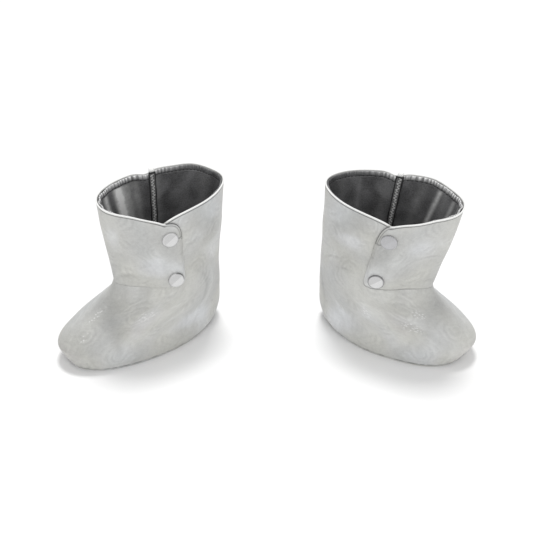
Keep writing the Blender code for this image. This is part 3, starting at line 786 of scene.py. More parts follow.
class Cover:
    """The outer face of one cover, and what is worked out from it."""

    def __init__(self, name):
        self.name = name
        self.pose = POSES[name]
        self.closure = CLOSURES[name]
        self.underlap_edge = self.closure.flap_edge - UNDERLAP
        self.place = self.find_place()

    def ankle(self, angle):
        """The ankle line: lowest at the crease in front, and level round the sides and the back."""
        from_front = np.abs(turn_from(np.asarray(angle, float), 0.0))
        climb = np.sin(np.pi / 2 * np.minimum(from_front / ANKLE_CLIMB, 1.0))
        return self.pose.ankle + (ANKLE_AT_SIDES - self.pose.ankle) * climb

    def level(self, angle, height):
        ankle = self.ankle(angle)
        return np.where(height < ankle, height / ankle, 1 + (height - ankle) / (TOP - ankle))

    def rim(self, angle):
        """Height of the top edge, with the point of the vee on the inner side."""
        round_turn = RIM_OVAL * np.cos(2 * np.radians(angle))
        sink = RIM_INNER_DIP * bell(angle - 90.0, RIM_INNER_WIDTH)
        vee = self.closure.vee_depth * np.exp(-np.abs(angle - self.closure.vee) / VEE_WIDTH)
        slack = 0.0
        for wave in RIM_WAVES[self.name]:
            slack = slack + wave.rise * bell(turn_from(angle, wave.angle), wave.half_width)
        return TOP + round_turn - sink - vee + slack

    def front(self, level):
        """The foot's top line and the shaft's front meet in a crease at the ankle."""
        pose = self.pose
        foot = [row for row in SECTIONS if row.level <= 1]
        shaft = [row for row in SECTIONS if row.level >= 1]
        low = through([row.level for row in foot], [row.toe for row in foot], level)
        high = through([row.level for row in shaft], [row.toe for row in shaft], level)
        low_shift = pose.toe_shift + (pose.ankle_shift - pose.toe_shift) * ease(level)
        high_shift = pose.ankle_shift + (pose.top_shift - pose.ankle_shift) * (level - 1)
        return np.where(level < 1, low + low_shift, high + high_shift)

    def face(self, angle, height):
        """Points of the outer face at angles in degrees and heights."""
        angle, height = np.broadcast_arrays(np.asarray(angle, float), np.asarray(height, float))
        level = self.level(angle, height)
        levels = [row.level for row in SECTIONS]
        heel = through(levels, [row.heel for row in SECTIONS], level)
        width = through(levels, [row.half_width for row in SECTIONS], level)
        square = through(levels, [row.squareness for row in SECTIONS], level)
        front = self.front(level)
        forward = np.cos(np.radians(angle))
        inward = np.sin(np.radians(angle))
        heel_square = HEEL_SQUARENESS + (2.0 - HEEL_SQUARENESS) * ease(level - HEEL_ROUND_LEVEL)
        power = 2.0 / np.where(forward > 0, square, heel_square)
        lean = self.pose.lean * np.maximum(level - 1, 0)
        x = (front + heel) / 2 + (front - heel) / 2 * signed_power(forward, power) + lean
        y = width * signed_power(inward, power)
        return np.stack([x, y, height], -1)

    def normal(self, angle, height):
        """Outward direction of the face, averaged across the ankle's crease."""
        round_way = self.face(angle + NORMAL_TURN, height) - self.face(angle - NORMAL_TURN, height)
        up_way = self.face(angle, height + NORMAL_RISE) - self.face(angle, height - NORMAL_RISE)
        out = np.cross(round_way, up_way)
        return out / np.linalg.norm(out, axis=-1, keepdims=True)

    def from_stud(self, angle, height, seat):
        """Distance from a snap's middle along the cloth."""
        return np.hypot(way_from(angle, seat.angle), height - seat.height)

    def creased(self, angle, height):
        """How deep the soft creases are at each point."""
        depth = np.zeros(np.broadcast(angle, height).shape)
        for crease in CREASES[self.name]:
            around = way_from(angle, crease.angle)
            up = height - crease.height
            tilt = math.radians(crease.tilt)
            along = around * math.cos(tilt) + up * math.sin(tilt)
            across = up * math.cos(tilt) - around * math.sin(tilt) + CREASE_BEND * along ** 2
            near = bell(along, crease.half_length) * bell(across, crease.half_width)
            depth = depth + crease.depth * near
        return depth

    def spots(self, table, angle, height):
        """How strongly each point lies in the soft oval spots of a table."""
        strength = np.zeros(np.broadcast(angle, height).shape)
        for spot in table[self.name]:
            near = bell(way_from(angle, spot.angle), spot.half_width)
            near = near * bell(height - spot.height, spot.half_height)
            strength = strength + spot.light * near
        return strength

    def slack(self, angle, height):
        """Soft waves, creases and the snaps' dimples, which all layers of the cloth share."""
        rise = np.zeros(np.broadcast(angle, height).shape)
        for wave in SLACK_WAVES:
            phase = wave.turns * np.radians(angle) + 2 * np.pi * height / wave.length + wave.start
            rise = rise + wave.rise * np.sin(phase)
        rise = rise - self.creased(angle, height)
        for seat in (self.closure.upper_stud, self.closure.lower_stud):
            rise = rise - DIMPLE_DEPTH * bell(self.from_stud(angle, height, seat), DIMPLE_WIDTH)
        return rise * ease((height - SLACK_FROM) / SLACK_RUN_IN)

    def point(self, angle, height, out):
        """Points moved off the outer face, along its outward direction."""
        away = np.asarray(out, float) + self.slack(angle, height)
        return self.face(angle, height) + self.normal(angle, height) * away[..., None]

    def at_height(self, angle, height, out):
        """Points moved off the face that end at one height."""
        reach = np.full(np.shape(angle), float(height))
        for _ in range(HEIGHT_ROUNDS):
            reach = reach + height - self.point(angle, reach, out)[..., 2]
        points = self.point(angle, reach, out)
        points[..., 2] = height
        return points

    def turned(self, points):
        """Points of the cover's own frame turned as it stands, before it is put in its place."""
        points = np.asarray(points, float)
        side = -1.0 if self.pose.mirrored else 1.0
        turn = math.radians(self.pose.turn)
        x, y = points[..., 0], points[..., 1] * side
        return np.stack([x * math.cos(turn) - y * math.sin(turn),
                         x * math.sin(turn) + y * math.cos(turn), points[..., 2]], -1)

    def find_place(self):
        """Where the cover stands: its own sole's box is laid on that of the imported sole."""
        round_turn = np.linspace(0.0, 360.0, PLACE_POINTS, endpoint=False)
        outline = self.turned(self.at_height(round_turn, 0.0, 0.0))
        low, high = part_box(f"{self.name}_sole")
        middle = (np.array(low) + np.array(high)) / 2 / MM
        return (middle - (outline.min(0) + outline.max(0)) / 2) * np.array([1.0, 1.0, 0.0])

    def world(self, points):
        """Points of the cover's frame in the row's frame, in metres."""
        return (self.turned(points) + self.place) * MM

    def facing_out(self, faces):
        """Faces that point outwards, also on the cover that is built as a mirror image."""
        return [tuple(reversed(face)) for face in faces] if self.pose.mirrored else faces

    def heel_piece_top(self, angle):
        """Top edge of the foot and heel piece: under the flap it runs on downwards past the vee."""
        vee = self.closure.vee
        hidden = self.rim(vee) - self.closure.vee_depth / VEE_WIDTH * (vee - angle)
        return np.where(angle < vee, hidden, self.rim(angle))

    def flap_top(self, angle):
        """The flap's top edge: the rim up to the vee, and then its rounded upper corner."""
        vee, edge = self.closure.vee, self.closure.flap_edge
        share = np.clip((angle - vee) / (edge - vee), 0.0, 1.0)
        power = self.closure.corner_squareness
        fall = (1 - share ** power) ** (1 / power)
        corner = UPPER_CORNER_HEIGHT + (self.rim(vee) - UPPER_CORNER_HEIGHT) * fall
        return np.where(angle > vee, corner, self.rim(angle))

    def flap_low(self, angle):
        """The flap's lower edge: the ankle line, and then its small lower corner."""
        arc = LOWER_CORNER_RADIUS / ARC
        share = np.clip((angle - self.closure.flap_edge + arc) / arc, 0.0, 1.0)
        corner = LOWER_CORNER_RADIUS * (1 - np.sqrt(1 - share ** 2))
        return self.ankle(angle) + FLAP_CLEARANCE + corner

    def lap(self, angle):
        """How far the flap stands off the plain outer face, to clear the heel piece under it."""
        before = self.underlap_edge - angle
        return LAP_RISE * ease((LAP_START - before) / (LAP_START - LAP_FULL))


def columns_between(low, high, step, near_low=(0.0,), near_high=(0.0,)):
    """Angles about one step apart, and closer together near an end that is an edge."""
    start = low + near_low[-1] / ARC
    end = high - near_high[-1] / ARC
    count = max(1, round((end - start) * ARC / step))
    first = [low + away / ARC for away in near_low[:-1]]
    last = [high - away / ARC for away in near_high[:-1]]
    return np.concatenate([first, np.linspace(start, end, count + 1), last[::-1]])


def heights_between(low, high, count, near_low=(0.0,), near_high=(0.0,)):
    """Rows of heights from a low line to a high one, closer together near an end that is an edge."""
    rows = [low + away for away in near_low]
    start = low + near_low[-1]
    end = high - near_high[-1]
    rows += [start + (end - start) * k / count for k in range(1, count)]
    rows += [high - away for away in near_high[::-1]]
    return np.array(rows)


def edge_points(keep):
    """Which points of a grid are on the edge of the cells that are cloth."""
    cells = np.pad(keep, 1).astype(int)
    count = cells[1:, 1:] + cells[1:, :-1] + cells[:-1, 1:] + cells[:-1, :-1]
    return (count > 0) & (count < 4)


def distance_to(picked, angles, heights):
    """Distance of every point of a grid from the nearest of its picked points, along the cloth."""
    around = np.broadcast_to(angles * ARC, heights.shape)
    line = around[picked], heights[picked]
    return np.array([np.hypot(row_around[:, None] - line[0], row_height[:, None] - line[1]).min(1)
                     for row_around, row_height in zip(around, heights)])


def from_edges(keep, angles, heights, ankle):
    """Distance from the edge of the cloth. The edges that meet at the ankle are rounded less."""
    edge = edge_points(keep)
    at_ankle = edge & (np.abs(heights - ankle) < ANKLE_BAND)
    return np.minimum(distance_to(edge & ~at_ankle, angles, heights),
                      distance_to(at_ankle, angles, heights) * ANKLE_SHARPNESS)


def rounded(away):
    """Share of the wall's thickness at a distance from its edge, so that the edge is rounded."""
    share = np.clip(away / EDGE_ROUND, 0.0, 1.0)
    return EDGE_LEFT + (1 - EDGE_LEFT) * np.sqrt(1 - (1 - share) ** 2)


def cloth_lengths(points, row, column):
    """Each point's way round and way up along the cloth, from one row and one column, in metres."""
    around = np.zeros(points.shape[:2])
    around[:, 1:] = np.cumsum(np.linalg.norm(np.diff(points, axis=1), axis=-1), axis=1)
    around -= around[:, column:column + 1].copy()
    up = np.zeros(points.shape[:2])
    up[1:] = np.cumsum(np.linalg.norm(np.diff(points, axis=0), axis=-1), axis=0)
    up -= up[row:row + 1, :].copy()
    return np.stack([around, up], -1) * MM


def deselect():
    for item in bpy.context.selected_objects:
        item.select_set(False)


def finished(item, material, slot, *nodes):
    """Gives a piece its material and its body, and hides the solids that it stands for."""
    item.data.materials.clear()
    item.data.materials.append(material)
    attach(item, BODY)
    if nodes:
        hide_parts(*nodes)
    return item


def add_marks(mesh, marks):
    """Puts values at a mesh's points, for its material to read."""
    for word, values in marks.items():
        layer = mesh.attributes.new(word, "FLOAT", "POINT")
        layer.data.foreach_set("value", np.asarray(values, np.float32))


def new_piece(name, points, faces, uv, marks=None):
    """A smooth mesh from points and cloth lengths in metres, and the marks at its points."""
    mesh = bpy.data.meshes.new(name)
    mesh.from_pydata(np.asarray(points).tolist(), [], faces)
    mesh.shade_smooth()
    corners = np.empty(len(mesh.loops), np.int32)
    mesh.loops.foreach_get("vertex_index", corners)
    flat = np.asarray(uv, np.float32)[corners]
    mesh.uv_layers.new(name="cloth").data.foreach_set("uv", flat.ravel())
    add_marks(mesh, marks or {})
    item = bpy.data.objects.new(name, mesh)
    bpy.context.scene.collection.objects.link(item)
    return item


def cloth_piece(name, cover, outer, inner, keep, marks):
    """A closed wall between two grids, with the cloth's own lengths as its UV map."""
    used = {}
    faces = []
    edges = set()

    def number(row, column):
        return used.setdefault((row, column), len(used))

    for row, column in np.argwhere(keep).tolist():
        corners = [(row, column), (row, column + 1), (row + 1, column + 1), (row + 1, column)]
        faces.append(tuple(number(*corner) for corner in corners))
    for face in faces:
        edges.update(zip(face, face[1:] + face[:1]))
    count = len(used)
    inside = [tuple(corner + count for corner in reversed(face)) for face in faces]
    rims = [(end, start, start + count, end + count)
            for start, end in sorted(edges) if (end, start) not in edges]
    faces = cover.facing_out(faces + inside + rims)
    places = np.array(list(used))
    at = places[:, 0], places[:, 1]
    points = np.concatenate([cover.world(outer[at]), cover.world(inner[at])])
    lengths = cloth_lengths(outer, 0, outer.shape[1] // 2)[at]
    spread = {word: np.tile(np.broadcast_to(values, outer.shape[:2])[at], 2)
              for word, values in marks.items()}
    return new_piece(name, points, faces, np.concatenate([lengths, lengths]), spread)


def heel_piece_grid(cover, step, foot_rows, shaft_rows, rim_rows, drop):
    """Angles, heights and cells of the foot and heel piece or its lining.

    All rows of the foot go right round. Those of the shaft start where the underlap ends.
    """
    edge = cover.underlap_edge
    angles = np.concatenate([columns_between(SEAM_START, edge, step, near_low=PLAIN_EDGE)[:-1],
                             columns_between(edge, SEAM_END, step, PLAIN_EDGE, PLAIN_EDGE)])
    first = int(np.abs(angles - edge).argmin())
    ankle = cover.ankle(angles)
    foot = heights_between(np.full(len(angles), WALL_FOOT), ankle, foot_rows, PLAIN_EDGE, PLAIN_EDGE)
    top = cover.heel_piece_top(angles) - drop
    shaft = heights_between(ankle, top, shaft_rows, near_high=rim_rows)
    heights = np.concatenate([foot, shaft[1:]])
    keep = np.ones((len(heights) - 1, len(angles) - 1), bool)
    keep[len(foot) - 1:, :first] = False
    return angles, heights, keep


def nap_marks(cover, angles, heights):
    """Creases, painted darker; nap patches, partly painted shade; painted glint clusters."""
    return {
        "crease": cover.creased(angles[None, :], heights),
        "nap_tone_and_painted_shade": cover.spots(PATCHES, angles[None, :], heights),
        "glint": cover.spots(CLUSTERS, angles[None, :], heights),
    }


def make_heel_piece(cover, material):
    """The outer cloth of the foot, the heel and the back of the shaft, with its beaded rim."""
    angles, heights, keep = heel_piece_grid(cover, PLUSH_STEP, PLUSH_FOOT_ROWS, PLUSH_SHAFT_ROWS,
                                            EDGE_ROWS, 0.0)
    ankle = cover.ankle(angles)
    from_edge = from_edges(keep, angles, heights, ankle)
    top = np.zeros(heights.shape, bool)
    top[-1] = angles >= cover.closure.vee
    from_rim = distance_to(top, angles, heights)
    in_sight = ease((angles - cover.closure.vee) / VEE_FADE)
    square = 1 + SQUARE_EDGE * bell(heights - ankle, SQUARE_REACH)
    wall = OUTER_WALL / 2 * rounded(from_edge * square)
    swell = (welt(BEAD, from_rim) + welt(GROOVE, from_rim)) * in_sight
    outer = cover.point(angles[None, :], heights, wall - OUTER_WALL / 2 + swell)
    inner = cover.point(angles[None, :], heights, -wall - OUTER_WALL / 2)
    # Painted highlight on the rim, painted shade under it and painted shade over the sole
    marks = {
        "rim": stroke(RIM_HIGHLIGHT, from_rim) * in_sight,
        "line": stroke(GROOVE, from_rim) * in_sight,
        "hem": stroke(SOLE_SHADE_LINE, heights - WALL_FOOT),
        **nap_marks(cover, angles, heights),
    }
    item = cloth_piece(f"{cover.name}_foot_and_heel_plush", cover, outer, inner, keep, marks)
    return finished(item, material, "plush", f"{cover.name}_foot_and_heel")


def flap_grid(cover, step, rows, rim_rows, drop, set_back):
    """Angles and heights of the flap or its lining. The lining stays back from the free edge."""
    vee = cover.closure.vee
    edge = cover.closure.flap_edge - set_back / ARC
    corner = [vee + (edge - vee) * math.sin(math.pi / 2 * k / CORNER_COLUMNS)
              for k in range(1, CORNER_COLUMNS + 1)]
    angles = np.concatenate([columns_between(SEAM_START, vee, step, near_low=PLAIN_EDGE), corner])
    near_corner = ease((angles - vee + SET_BACK_TURN) / SET_BACK_TURN)
    shifted = angles + set_back / ARC * np.clip((angles - vee) / (edge - vee), 0.0, 1.0)
    low = cover.flap_low(shifted) + drop / 2 + set_back * near_corner / 2
    top = cover.flap_top(shifted) - drop - set_back * near_corner
    heights = heights_between(low, top, rows, PLAIN_EDGE, rim_rows)
    return angles, heights, np.ones((len(heights) - 1, len(angles) - 1), bool)


def hook_painted_shadow(cover, angles, heights):
    """Painted shadow line along the short fold from the corner's end back towards the upper snap."""
    seat = cover.closure.upper_stud
    edge = cover.closure.flap_edge
    share = np.clip((edge - angles) / (edge - seat.angle), 0.0, 1.0)
    line = HOOKS[cover.name] + HOOK_DIP * np.sin(math.pi * np.clip(share * HOOK_RUN, 0.0, 1.0))
    return HOOK_SHADOW_DARKNESS * bell(heights - line, HOOK_SHADOW_WIDTH) * (angles > seat.angle)


def make_flap(cover, material):
    """The outer cloth of the shaft's front, whose free edge turns in beside the snaps."""
    angles, heights, keep = flap_grid(cover, PLUSH_STEP, FLAP_ROWS, EDGE_ROWS, 0.0, 0.0)
    heights = heights - FLAP_DROP * ease(1 - (heights - heights[0]) / FLAP_DROP_REACH)
    edge = edge_points(keep)
    from_edge = from_edges(keep, angles, heights, cover.ankle(angles))
    top = np.zeros(heights.shape, bool)
    top[-1] = True
    from_rim = distance_to(top, angles, heights)
    free = edge & (angles[None, :] > cover.closure.vee)
    free[0] = free[0] & (angles > cover.closure.flap_edge - LOWER_CORNER_RADIUS / ARC)
    from_free = distance_to(free, angles, heights)
    hooked = ease((heights - HOOKS[cover.name]) / HOOK_FADE + 0.5)
    past_vee = ease((angles - cover.closure.vee) / PAST_VEE + 0.5)
    near_free = ease(1 - from_free / HUG_WIDTH)
    square = 1 + SQUARE_EDGE * bell(heights - heights[0], SQUARE_REACH)
    wall = (OUTER_WALL - HUG_THIN * near_free) / 2 * rounded(from_edge * square)
    stand = cover.lap(angles)[None, :] - OUTER_WALL / 2 - (HUG_DEPTH + HUG_THIN / 2) * near_free
    swell = (welt(BEAD, from_rim) + welt(GROOVE, from_rim)) * hooked
    swell = swell * (1 - (1 - CORNER_BEAD) * past_vee)
    outer = cover.point(angles[None, :], heights, stand + wall + swell)
    inner = cover.point(angles[None, :], heights, stand - wall)
    # Painted shade lines: under the rim, along the free edge, at the hook and along the lower edge
    rim_groove_shade = stroke(GROOVE, from_rim) * (1 - (1 - CORNER_SHADE) * past_vee)
    edge_shade = np.maximum(rim_groove_shade, stroke(FREE_EDGE_SHADE, from_free) * past_vee) * hooked
    edge_shade = np.maximum(edge_shade, hook_painted_shadow(cover, angles, heights))
    seen = ease((angles - FLAP_EDGE_SHADE_FADE) / (FLAP_EDGE_SHADE_FULL - FLAP_EDGE_SHADE_FADE))
    lower_edge_shade = stroke(LOW_EDGE_SHADE, heights - heights[0]) * FLAP_EDGE_SHADE[cover.name] * seen
    # Painted highlight on the rim, fading out round the vee
    marks = {
        "rim": stroke(RIM_HIGHLIGHT, from_rim) * (1 - past_vee),
        "line": np.maximum(edge_shade, lower_edge_shade),
        "hem": np.zeros(heights.shape),
        **nap_marks(cover, angles, heights),
    }
    item = cloth_piece(f"{cover.name}_front_flap_plush", cover, outer, inner, keep, marks)
    return finished(item, material, "plush", f"{cover.name}_front_flap")


def lining_fold(angle, level):
    """Depth of the lining's soft folds at each point."""
    depth = np.zeros(np.broadcast(angle, level).shape)
    for fold in LINING_FOLDS:
        near = bell(turn_from(angle, fold.angle), fold.half_width)
        depth = depth + fold.depth * near * ease((level - fold.low_level) / FOLD_RUN_OUT)
    return depth


def waves(table, along):
    """The sum of a table's waves along a line."""
    return sum(wave.rise * np.sin(along / wave.length + wave.start) for wave in table)


def ribs(around, length):
    """Uneven ribs from -1 to 1 along a line, about one length apart."""
    drift = waves(RIB_DRIFTS, around)
    size = RIB_SIZE + waves(RIB_SIZES, around)
    fine_phase = 2 * np.pi * (around * FINE_RIB_RATE - drift) / length + FINE_RIB_START
    return size * np.sin(2 * np.pi * (around + drift) / length) + FINE_RIB * np.sin(fine_phase)


def hem_relief(around, from_rim):
    """How far the lining's inside stands proud along its hem, and is drawn in by the stitches."""
    arch = np.sin(np.pi * np.clip(from_rim / HEM, 0.0, 1.0))
    pucker = PUCKER * ribs(around, PUCKER_LENGTH) * arch
    under = np.clip((from_rim - HEM) / DRAG_REACH, 0.0, 1.0)
    drag = DRAG * ribs(around, DRAG_LENGTH) * (1 - under) ** 2 * ease(under * DRAG_RUN_IN)
    return HEM_BULGE * arch + pucker + drag - welt(STITCH_GROOVE, from_rim)


def lining_inside(cover, angle, height, lap):
    """How far the lining's inside is off the cover's outer face, away from its edges."""
    from_rim = cover.rim(angle) - LINING_DROP - height
    fold = lining_fold(angle, cover.level(angle, height))
    return lap + LINING_INSIDE - hem_relief(angle * ARC, from_rim) - fold


def between(sides, toe_side):
    """A value that changes from the heel side to the toe side."""
    return sides.heel + (sides.toe - sides.heel) * toe_side


def lining_piece(cover, name, grid, lap, material, node):
    """A lining wall: its back is smooth, and its inside has the folds and the puckered hem."""
    angles, heights, keep = grid
    from_edge = distance_to(edge_points(keep), angles, heights)
    from_rim = cover.rim(angles) - LINING_DROP - heights
    rib = 0.5 + 0.5 * ribs(angles * ARC, PUCKER_LENGTH)
    heights = heights - SCALLOP * rib * ease(1 - np.abs(from_rim) / SCALLOP_REACH)
    share = rounded(from_edge)
    folds = lining_fold(angles[None, :], cover.level(angles, heights))
    middle = lap + LINING_FACE - LINING_WALL / 2 - folds
    inside = lining_inside(cover, angles[None, :], heights, lap)
    outer = cover.point(angles[None, :], heights, middle + LINING_WALL / 2 * share)
    inner = cover.point(angles[None, :], heights, middle + (inside - middle) * share)
    toe_side = TOE_SIDE_REACH - np.abs(turn_from(angles, TOE_SIDE))
    toe_side = ease(toe_side / (TOE_SIDE_REACH - TOE_SIDE_FULL))
    # Painted highlight on the hem's puckers, paler on the toe side, and painted sheen on the folds
    marks = {
        "hem": ease(HEM_FADE - np.abs(from_rim) / HEM) * between(HEM_HIGHLIGHT, toe_side),
        "rib": rib,
        "tuft": ribs(angles * ARC, TUFT_LENGTH) * ease(TUFT_FADE * (1 - np.abs(from_rim) / HEM)),
        "line": bell(from_rim - HEM, HEM_LINE_WIDTH) * between(HEM_LINE, toe_side),
        "fold": painted_fold_sheen(cover, angles) * ease((from_rim - HEM) / FOLD_SHEEN_RUN_IN),
    }
    item = cloth_piece(f"{cover.name}_{name}", cover, outer, inner, keep, marks)
    return finished(item, material, "satin", f"{cover.name}_{node}")


def painted_fold_sheen(cover, angles):
    """Painted sheen on the satin's folds, and painted shade in the dark bands beside them."""
    light = np.zeros(len(angles))
    for gleam in LINING_PAINTED_SHEEN[cover.name]:
        light = light + gleam.light * bell(turn_from(angles, gleam.angle), gleam.half_width)
    return light


def make_linings(cover, material):
    """The linings of the foot and heel and of the flap."""
    grid = heel_piece_grid(cover, SATIN_STEP, SATIN_FOOT_ROWS, SATIN_SHAFT_ROWS, HEM_ROWS,
                           LINING_DROP)
    heel = lining_piece(cover, "foot_and_heel_satin", grid, 0.0, material, "foot_and_heel_lining")
    grid = flap_grid(cover, SATIN_STEP, SATIN_SHAFT_ROWS, HEM_ROWS, LINING_DROP, LINING_SET_BACK)
    flap = lining_piece(cover, "front_flap_satin", grid, cover.lap(grid[0])[None, :], material,
                        "front_flap_lining")
    return heel, flap


def make_slab(cover, name, low, wall, out, material, slot, node):
    """A flat piece with a rounded edge: rings of points from its underside round to its top."""
    turn = np.linspace(0.0, 360.0, SOLE_POINTS, endpoint=False)
    sides = [(ring, low + wall / 2 * (1 - rounded(ring))) for ring in reversed(SOLE_RINGS)]
    sides += [(ring, low + wall / 2 * (1 + rounded(ring))) for ring in SOLE_RINGS]
    rings = []
    for inset, height in sides:
        ring = cover.at_height(turn, low, np.full(len(turn), out - inset))
        ring[:, 2] = height
        rings.append(ring)
    points = cover.world(np.concatenate(rings))
    faces = cover.facing_out(ring_faces(len(rings), SOLE_POINTS))
    marks = {word: np.zeros(len(points)) for word in MARKS[slot]}
    item = new_piece(f"{cover.name}_{name}", points, faces, points[:, :2], marks)
    return finished(item, material, slot, f"{cover.name}_{node}")


def seam_points(cover, height, across, off):
    """Points on the seam band: across it from -1 to 1, and how far off its root."""
    over = np.maximum(height - cover.rim(OUTER_SIDE), 0.0) / SEAM_STAND
    angle = OUTER_SIDE + np.asarray(across) * SEAM_WIDTH / 2 / ARC
    return cover.point(angle, height, SEAM_OFFSET - off + SEAM_LEAN * over ** 2)


def band_depth(across):
    """How thick the rounded seam band is, across it from -1 to 1."""
    return SEAM_THICK * (1 - np.abs(across) ** SEAM_SQUARENESS) ** (1 / SEAM_SQUARENESS)


def make_seam_band(cover, material):
    """The overlocked allowance: a low rounded band down the inside of the outer side."""
    top = cover.rim(OUTER_SIDE) + SEAM_STAND
    heights = np.linspace(SEAM_FOOT, top, round((top - SEAM_FOOT) / SEAM_ROW))
    across = -np.cos(np.linspace(0.0, np.pi, SEAM_SIDES // 2 + 1))
    round_way = np.concatenate([across, across[-2:0:-1]])
    deep = np.concatenate([np.zeros(len(across)), band_depth(across[-2:0:-1])])
    shrink = np.sqrt(np.clip((top - heights) / BAND_END, BAND_END_THICK, 1.0))
    rows = []
    for height, part in zip(heights, shrink):
        wide = BAND_END_WIDE + (1 - BAND_END_WIDE) * part
        level = np.full(len(round_way), height)
        rows.append(seam_points(cover, level, round_way * wide, deep * part))
    points = cover.world(np.concatenate(rows))
    count = len(round_way)
    faces = cover.facing_out(ring_faces(len(rows), count))
    along = np.repeat(heights, count)
    uv = np.stack([np.tile(round_way * SEAM_WIDTH / 2, len(rows)), along], -1) * MM
    above = along - cover.rim(OUTER_SIDE)
    # A pale tip in the rim's painted highlight colour, and painted shade in the slit under it
    marks = {"tip": ease((above - TIP_START) / TIP_RUN_IN), "line": stroke(SLIT_SHADE, above)}
    item = new_piece(f"{cover.name}_seam_band", points, faces, uv, marks)
    finished(item, material, "overlock", f"{cover.name}_side_seam")


def tube(path, radius):
    """Points, faces and cloth lengths of a closed tube along a path in metres."""
    path = np.asarray(path)
    along = np.gradient(path, axis=0)
    along /= np.linalg.norm(along, axis=1, keepdims=True)
    upright = abs(along[0][2]) >= NEARLY_UPRIGHT
    side = np.cross(along[0], (1.0, 0.0, 0.0) if upright else (0.0, 0.0, 1.0))
    turn = np.linspace(0.0, 2 * np.pi, TUBE_SIDES, endpoint=False)
    points, uv = [], []
    reach = 0.0
    for k, (place, way) in enumerate(zip(path, along)):
        side = side - way * (side @ way)
        side /= np.linalg.norm(side)
        reach += np.linalg.norm(place - path[k - 1]) if k else 0.0
        ring = np.outer(np.cos(turn), side) + np.outer(np.sin(turn), np.cross(way, side))
        points.append(place + ring * radius)
        uv.append(np.stack([turn * radius, np.full(TUBE_SIDES, reach)], -1))
    return np.concatenate(points), ring_faces(len(path), TUBE_SIDES), np.concatenate(uv)


def joined(parts):
    """Several sets of points, faces and lengths as one."""
    points, faces, uv = [], [], []
    count = 0
    for part_points, part_faces, part_uv in parts:
        points.append(part_points)
        uv.append(part_uv)
        faces += [tuple(corner + count for corner in face) for face in part_faces]
        count += len(part_points)
    return np.concatenate(points), faces, np.concatenate(uv)


def make_seam_threads(cover, materials):
    """The looper thread that squiggles over the band, and a dark thread along each of its edges."""
    top = float(cover.rim(OUTER_SIDE)) - SLIT_DROP
    heights = np.arange(SEAM_FOOT + LOOPER_START, top, LOOPER_PITCH / LOOPER_STEPS)
    phase = 2 * np.pi * heights / LOOPER_PITCH
    across = LOOPER_MIDDLE + waves(LOOPER_WAVES, phase)
    off = band_depth(across) + LOOPER_RADIUS * (LOOPER_STAND + LOOPER_BOB * np.cos(phase * 2))
    path = cover.world(seam_points(cover, heights, across, off))
    looper = new_piece(f"{cover.name}_seam_threads", *tube(path, LOOPER_RADIUS * MM))
    finished(looper, materials["light_thread"], "overlock")
    heights = np.arange(SEAM_FOOT + CORD_START, top + SLIT_DROP + CORD_STAND, CORD_STEP)
    cords = []
    for side in (-1.0, 1.0):
        sway = np.sin(heights / CORD_WANDER_LENGTH + side)
        wander = side * (CORD_PLACE + CORD_WANDER * sway)
        path = cover.world(seam_points(cover, heights, wander, np.full(len(heights), CORD_RADIUS)))
        cords.append(tube(path, CORD_RADIUS * MM))
    edges = new_piece(f"{cover.name}_seam_edges", *joined(cords))
    finished(edges, materials["dark_thread"], "overlock")


def model_stitch():
    """One stitch, a small smooth bar lying along X. Returns its points and faces."""
    deselect()
    bpy.ops.mesh.primitive_uv_sphere_add(segments=STITCH_SEGMENTS, ring_count=STITCH_RINGS,
                                         radius=0.5)
    stitch = bpy.context.object
    stitch.scale = (STITCH_LENGTH * MM, STITCH_WIDTH * MM, STITCH_RISE * MM)
    bpy.ops.object.transform_apply(location=False, rotation=False, scale=True)
    points = np.array([vertex.co for vertex in stitch.data.vertices])
    faces = [tuple(face.vertices) for face in stitch.data.polygons]
    mesh = stitch.data
    bpy.data.objects.remove(stitch)
    bpy.data.meshes.remove(mesh)
    return points, faces


def surface_frame(cover, angle, height, out):
    """A place on the cover in the row's frame, with its directions across, up and outwards.

    Across runs to the right as one looks at the cover from outside with its heel to the right.
    """
    step = FRAME_STEP / ARC
    at = np.array([angle - step, angle, angle + step])
    places = cover.world(cover.point(at, np.full(3, height), np.full(3, out)))
    outward = cover.world(cover.point(at, np.full(3, height), np.full(3, out + 1.0)))[1] - places[1]
    outward = Vector(outward).normalized()
    across = Vector(places[2] - places[0]).normalized()
    if cover.pose.mirrored:
        across = -across
    up = outward.cross(across).normalized()
    return Vector(places[1]), across, up, outward


def make_hem_stitches(cover, material):
    """The topstitching that holds the hem, along the lining's inside."""
    shape, faces = model_stitch()
    lengths = shape[:, :2]
    parts = []
    vee = cover.closure.vee
    stretches = ((SEAM_START + STITCH_OFF_SEAM, vee - STITCH_BEFORE_VEE, True),
                 (vee + STITCH_PAST_VEE, SEAM_END - STITCH_OFF_SEAM, False))
    for start, end, on_flap in stretches:
        for angle in np.arange(start, end, STITCH_STEP / ARC):
            height = float(cover.rim(angle)) - LINING_DROP - HEM
            lap = float(cover.lap(angle)) if on_flap else 0.0
            out = float(lining_inside(cover, np.array([angle]), np.array([height]), lap)[0])
            out = out - STITCH_RISE * STITCH_SINK
            place, across, up, outward = surface_frame(cover, angle, height, out)
            turn = np.array([across, -up, -outward])
            parts.append((shape @ turn + np.array(place), faces, lengths))
    item = new_piece(f"{cover.name}_hem_stitches", *joined(parts))
    finished(item, material, "overlock")


